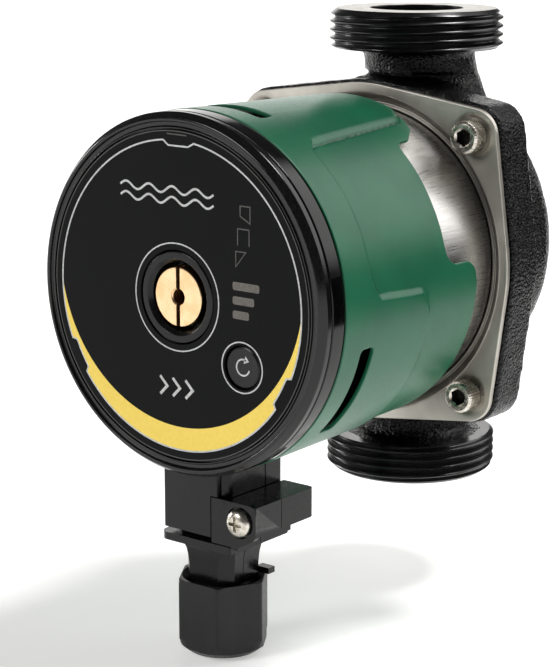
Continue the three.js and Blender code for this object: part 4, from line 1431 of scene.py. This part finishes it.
def gland_hexagon():
    """The gland nut: a hexagon turned off at both ends, open at the top, with a cable hole below."""
    flat = NUT_R * math.cos(math.pi / 6)
    first_corner = 2.35
    hole, mouth, step = 4.9, 10.7, 9.4
    outside = rounded([
        (mouth, NUT_TOP_Z, 0.3), (12.0, NUT_TOP_Z, 0.4), (NUT_R + 0.3, -77.0, 0.6),
        (NUT_R + 0.3, -91.4, 1.5), (11.4, -93.9, 1.2), (step, NUT_END_Z, 0.5), (hole, NUT_END_Z, 0.4),
    ])
    inside = rounded([
        (hole, NUT_END_Z, 0), (hole, -91.5, 0.2), (step, -91.5, 0.3), (step, -77.4, 0.3),
        (mouth, NUT_TOP_Z, 0),
    ])[1:-1]
    profile = outside + inside
    columns = 240

    def place(i, j):
        angle = i * 360 / columns
        radius, z = profile[j]
        if j < len(outside):
            off = math.radians((angle - first_corner) % 60 - 30)
            radius = min(radius, flat / math.cos(off), NUT_R - 0.15)
        return on_axis("z", radius, angle, z, (0, PLUG_Y, 0))

    return shade(make("gland_hexagon", grid(columns, len(profile), place, True, True)), 24)


# ------------------------------------------------------------------ putting the pieces together


def fit(obj, slot, finish, *nodes, body="pump_body"):
    """Give a piece its finish and body, and hide the CAD nodes it stands for."""
    if finish:
        obj.data.materials.clear()
        obj.data.materials.append(FINISHES[finish])
    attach(obj, body)
    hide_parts(*nodes)


def fixed_pieces():
    """The housing, the motor and the control head."""
    fit(housing(), "cast_iron", "cast_paint", "volute_housing")
    for side in (1, -1):
        fit(port_collar(side), "cast_iron", None, "volute_housing")
    fit(clamping_plate(), "flange_steel", "pressed_steel", "flange_plate")
    for i, (right, up) in enumerate([(1, 1), (-1, 1), (-1, -1), (1, -1)], 1):
        screw = cap_screw(f"cap_screw_{i}", right * BOLT_OFFSET, up * BOLT_OFFSET)
        fit(screw, "screw_steel", None, f"flange_screw_{i}")
    fit(motor_can(), "bright_steel", "drawn_steel", "motor_shell")
    fit(cover(), "green_plastic", "green_plastic", "motor_cover")
    fit(head_base(), "gloss_black", "gloss_black", "control_base")
    fit(head_window(), "gloss_black", "window_black", "front_cover")
    fit(label(), "label_foil", "label_foil", "front_label")
    for name, shape, finish in (
        ("print_grey", grey_prints(), "grey_ink"),
        ("print_crescent", crescent(), "yellow_ink"),
        ("print_symbols", ghost_prints(), "ghost_ink"),
        ("print_bars", bar_prints(), "smoked_bar"),
    ):
        fit(make(name, shape), "label_foil", finish, "front_label")


def moving_pieces():
    """The button, the vent plug, the power plug and its gland, with what holds them."""
    fit(button(), "black_plastic", "button_black", "mode_button", body="mode_button")
    arrow = make("print_button", icon_cycle(BUTTON, 2.0, -100.72))
    fit(arrow, "black_plastic", "grey_ink", "mode_button", body="mode_button")
    fit(plug_ring(), "gloss_black", "socket_black", "plug_collar")
    fit(vent_plug(), "brass", None, "bleed_plug", body="bleed_plug")
    fit(socket(), "black_plastic", "socket_black", "socket_block")
    for name, front in (("plug_front", True), ("plug_rear", False)):
        shell = plug_shell(name, front)
        fit(shell, "black_plastic", "socket_black", f"{name}_shell", body="power_plug")
    fit(pan_screw(), "screw_steel", "zinc", "plug_screw", body="power_plug")
    fit(gland_hexagon(), "black_plastic", "nut_black", "gland_nut", body="gland_nut")


# The finish of each CAD node that is shown as it is, by the start of its name.
NODE_FINISHES = {
    "wear_ring": "bright_steel", "housing_seal": "rubber", "bearing_plate": "bright_steel",
    "front_bearing": "carbon", "rear_bearing_holder": "bright_steel", "rear_bearing": "carbon",
    "rotor_can": "bright_steel", "rotor_shaft": "bright_steel", "thrust_ring": "carbon",
    "rotor_magnet": "carbon", "rotor_sleeve": "bright_steel", "impeller": "nut_black",
    "stator_core": "laminations", "stator_coil": "copper", "light_guide": "smoked_bar", "led": "lamp",
    "button_switch": "button_black", "circuit_board": "board", "capacitor": "gloss_black",
    "choke": "copper", "power_module": "carbon", "heat_spreader": "pressed_steel",
    "contact_pin": "brass", "plug_terminal": "brass", "bleed_seal": "rubber",
    "gland_ring": "nut_black", "gland_grommet": "rubber",
}


def finish_hidden_nodes():
    for name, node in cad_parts.items():
        if node.hide_render:
            continue
        key = next(k for k in NODE_FINISHES if name.startswith(k))
        node.data.materials.clear()
        node.data.materials.append(FINISHES[NODE_FINISHES[key]])


# ------------------------------------------------------------------ stage


def floor():
    """A wide pale floor. It stays under the gland, the lowest piece, when that is drawn down."""
    size = 9000
    obj = make("floor", box((-size, -size, FLOOR_Z - 10), (size, size, FLOOR_Z)))
    glow = {"Emission_Strength": 0.41, "Emission_Color": (1, 1, 0.99, 1)}
    finish = Finish("floor_paint", (243, 243, 242), 0.6, **glow)
    finish.tint(finish.grain(300.0), (242, 242, 241), (245, 245, 244))
    obj.data.materials.append(finish.material)
    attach(obj, "gland_ring")


def sun(name, azimuth, elevation, strength, spread):
    """A broad soft light from a direction given as for the camera views."""
    data = bpy.data.lights.new(name, "SUN")
    data.energy = strength
    data.angle = math.radians(spread)
    obj = bpy.data.objects.new(name, data)
    bpy.context.scene.collection.objects.link(obj)
    obj.rotation_euler = (math.radians(90 - elevation), 0, math.radians(azimuth))


def studio():
    """A dim room with a pale horizon, a soft box behind on the right and a weaker one on the left."""
    world = bpy.data.worlds.new("studio")
    world.use_nodes = True
    bpy.context.scene.world = world
    tree = world.node_tree
    background = tree.nodes["Background"]
    background.inputs["Color"].default_value = (1, 0.99, 0.975, 1)
    direction = tree.nodes.new("ShaderNodeTexCoord").outputs["Generated"]

    def ramp(value, start, end, first, last):
        node = add_node(tree, "ShaderNodeMapRange", value, start, end, first, last)
        node.interpolation_type = "SMOOTHSTEP"
        return node.outputs[0]

    def total(first, second):
        return add_node(tree, "ShaderNodeMath", first, second, operation="ADD").outputs[0]

    def towards(*way):
        way = Vector(way).normalized()
        node = add_node(tree, "ShaderNodeVectorMath", direction, way, operation="DOT_PRODUCT")
        return node.outputs["Value"]

    horizon = ramp(towards(0, 0, 1), 0.01, 0.1, 0.85, 0.07)
    soft_box = ramp(towards(0.42, 0.74, 0.51), 0.88, 0.965, 0, 2.1)
    glow = ramp(towards(-0.6, 0.76, 0.22), 0.955, 0.99, 0, 1.6)
    tree.links.new(total(total(horizon, soft_box), glow), background.inputs["Strength"])


def black_card():
    """A card behind on the right, seen only in reflections: it keeps that side dark."""
    profile = [(300, FLOOR_Z + 0.5), (600, FLOOR_Z + 0.5), (640, 55)]

    def place(i, j):
        distance, z = profile[j]
        x, y = polar(distance, 95 - i * 5)
        return x, y, z

    obj = make("black_card", grid(18, len(profile), place))
    finish = Finish("card", (4, 4, 4), 0.9, Specular_IOR_Level=0.0)
    finish.tint(finish.grain(20.0), (3, 3, 3), (6, 6, 6))
    obj.data.materials.append(finish.material)
    obj.visible_camera = False
    obj.visible_diffuse = False
    obj.visible_shadow = False


def lights():
    studio()
    black_card()
    sun("key", 140, 66, 2.1, 16)
    sun("front", -25, 32, 1.0, 24)
    sun("edge", -80, 10, 0.7, 12)


def camera():
    """The camera, fitted to the photograph."""
    elevation, azimuth = 12.823, 38.535
    data = bpy.data.cameras.new("camera")
    data.sensor_width = 36
    data.lens = 109.62
    data.clip_start = 0.01
    obj = bpy.data.objects.new("camera", data)
    obj.location = (0.32137, -0.46606, 0.10150)
    obj.rotation_euler = (math.radians(90 - elevation), 0, math.radians(azimuth))
    bpy.context.scene.collection.objects.link(obj)
    bpy.context.scene.camera = obj


fixed_pieces()
moving_pieces()
finish_hidden_nodes()
floor()
lights()
camera()
bpy.context.scene.view_settings.view_transform = "Standard"
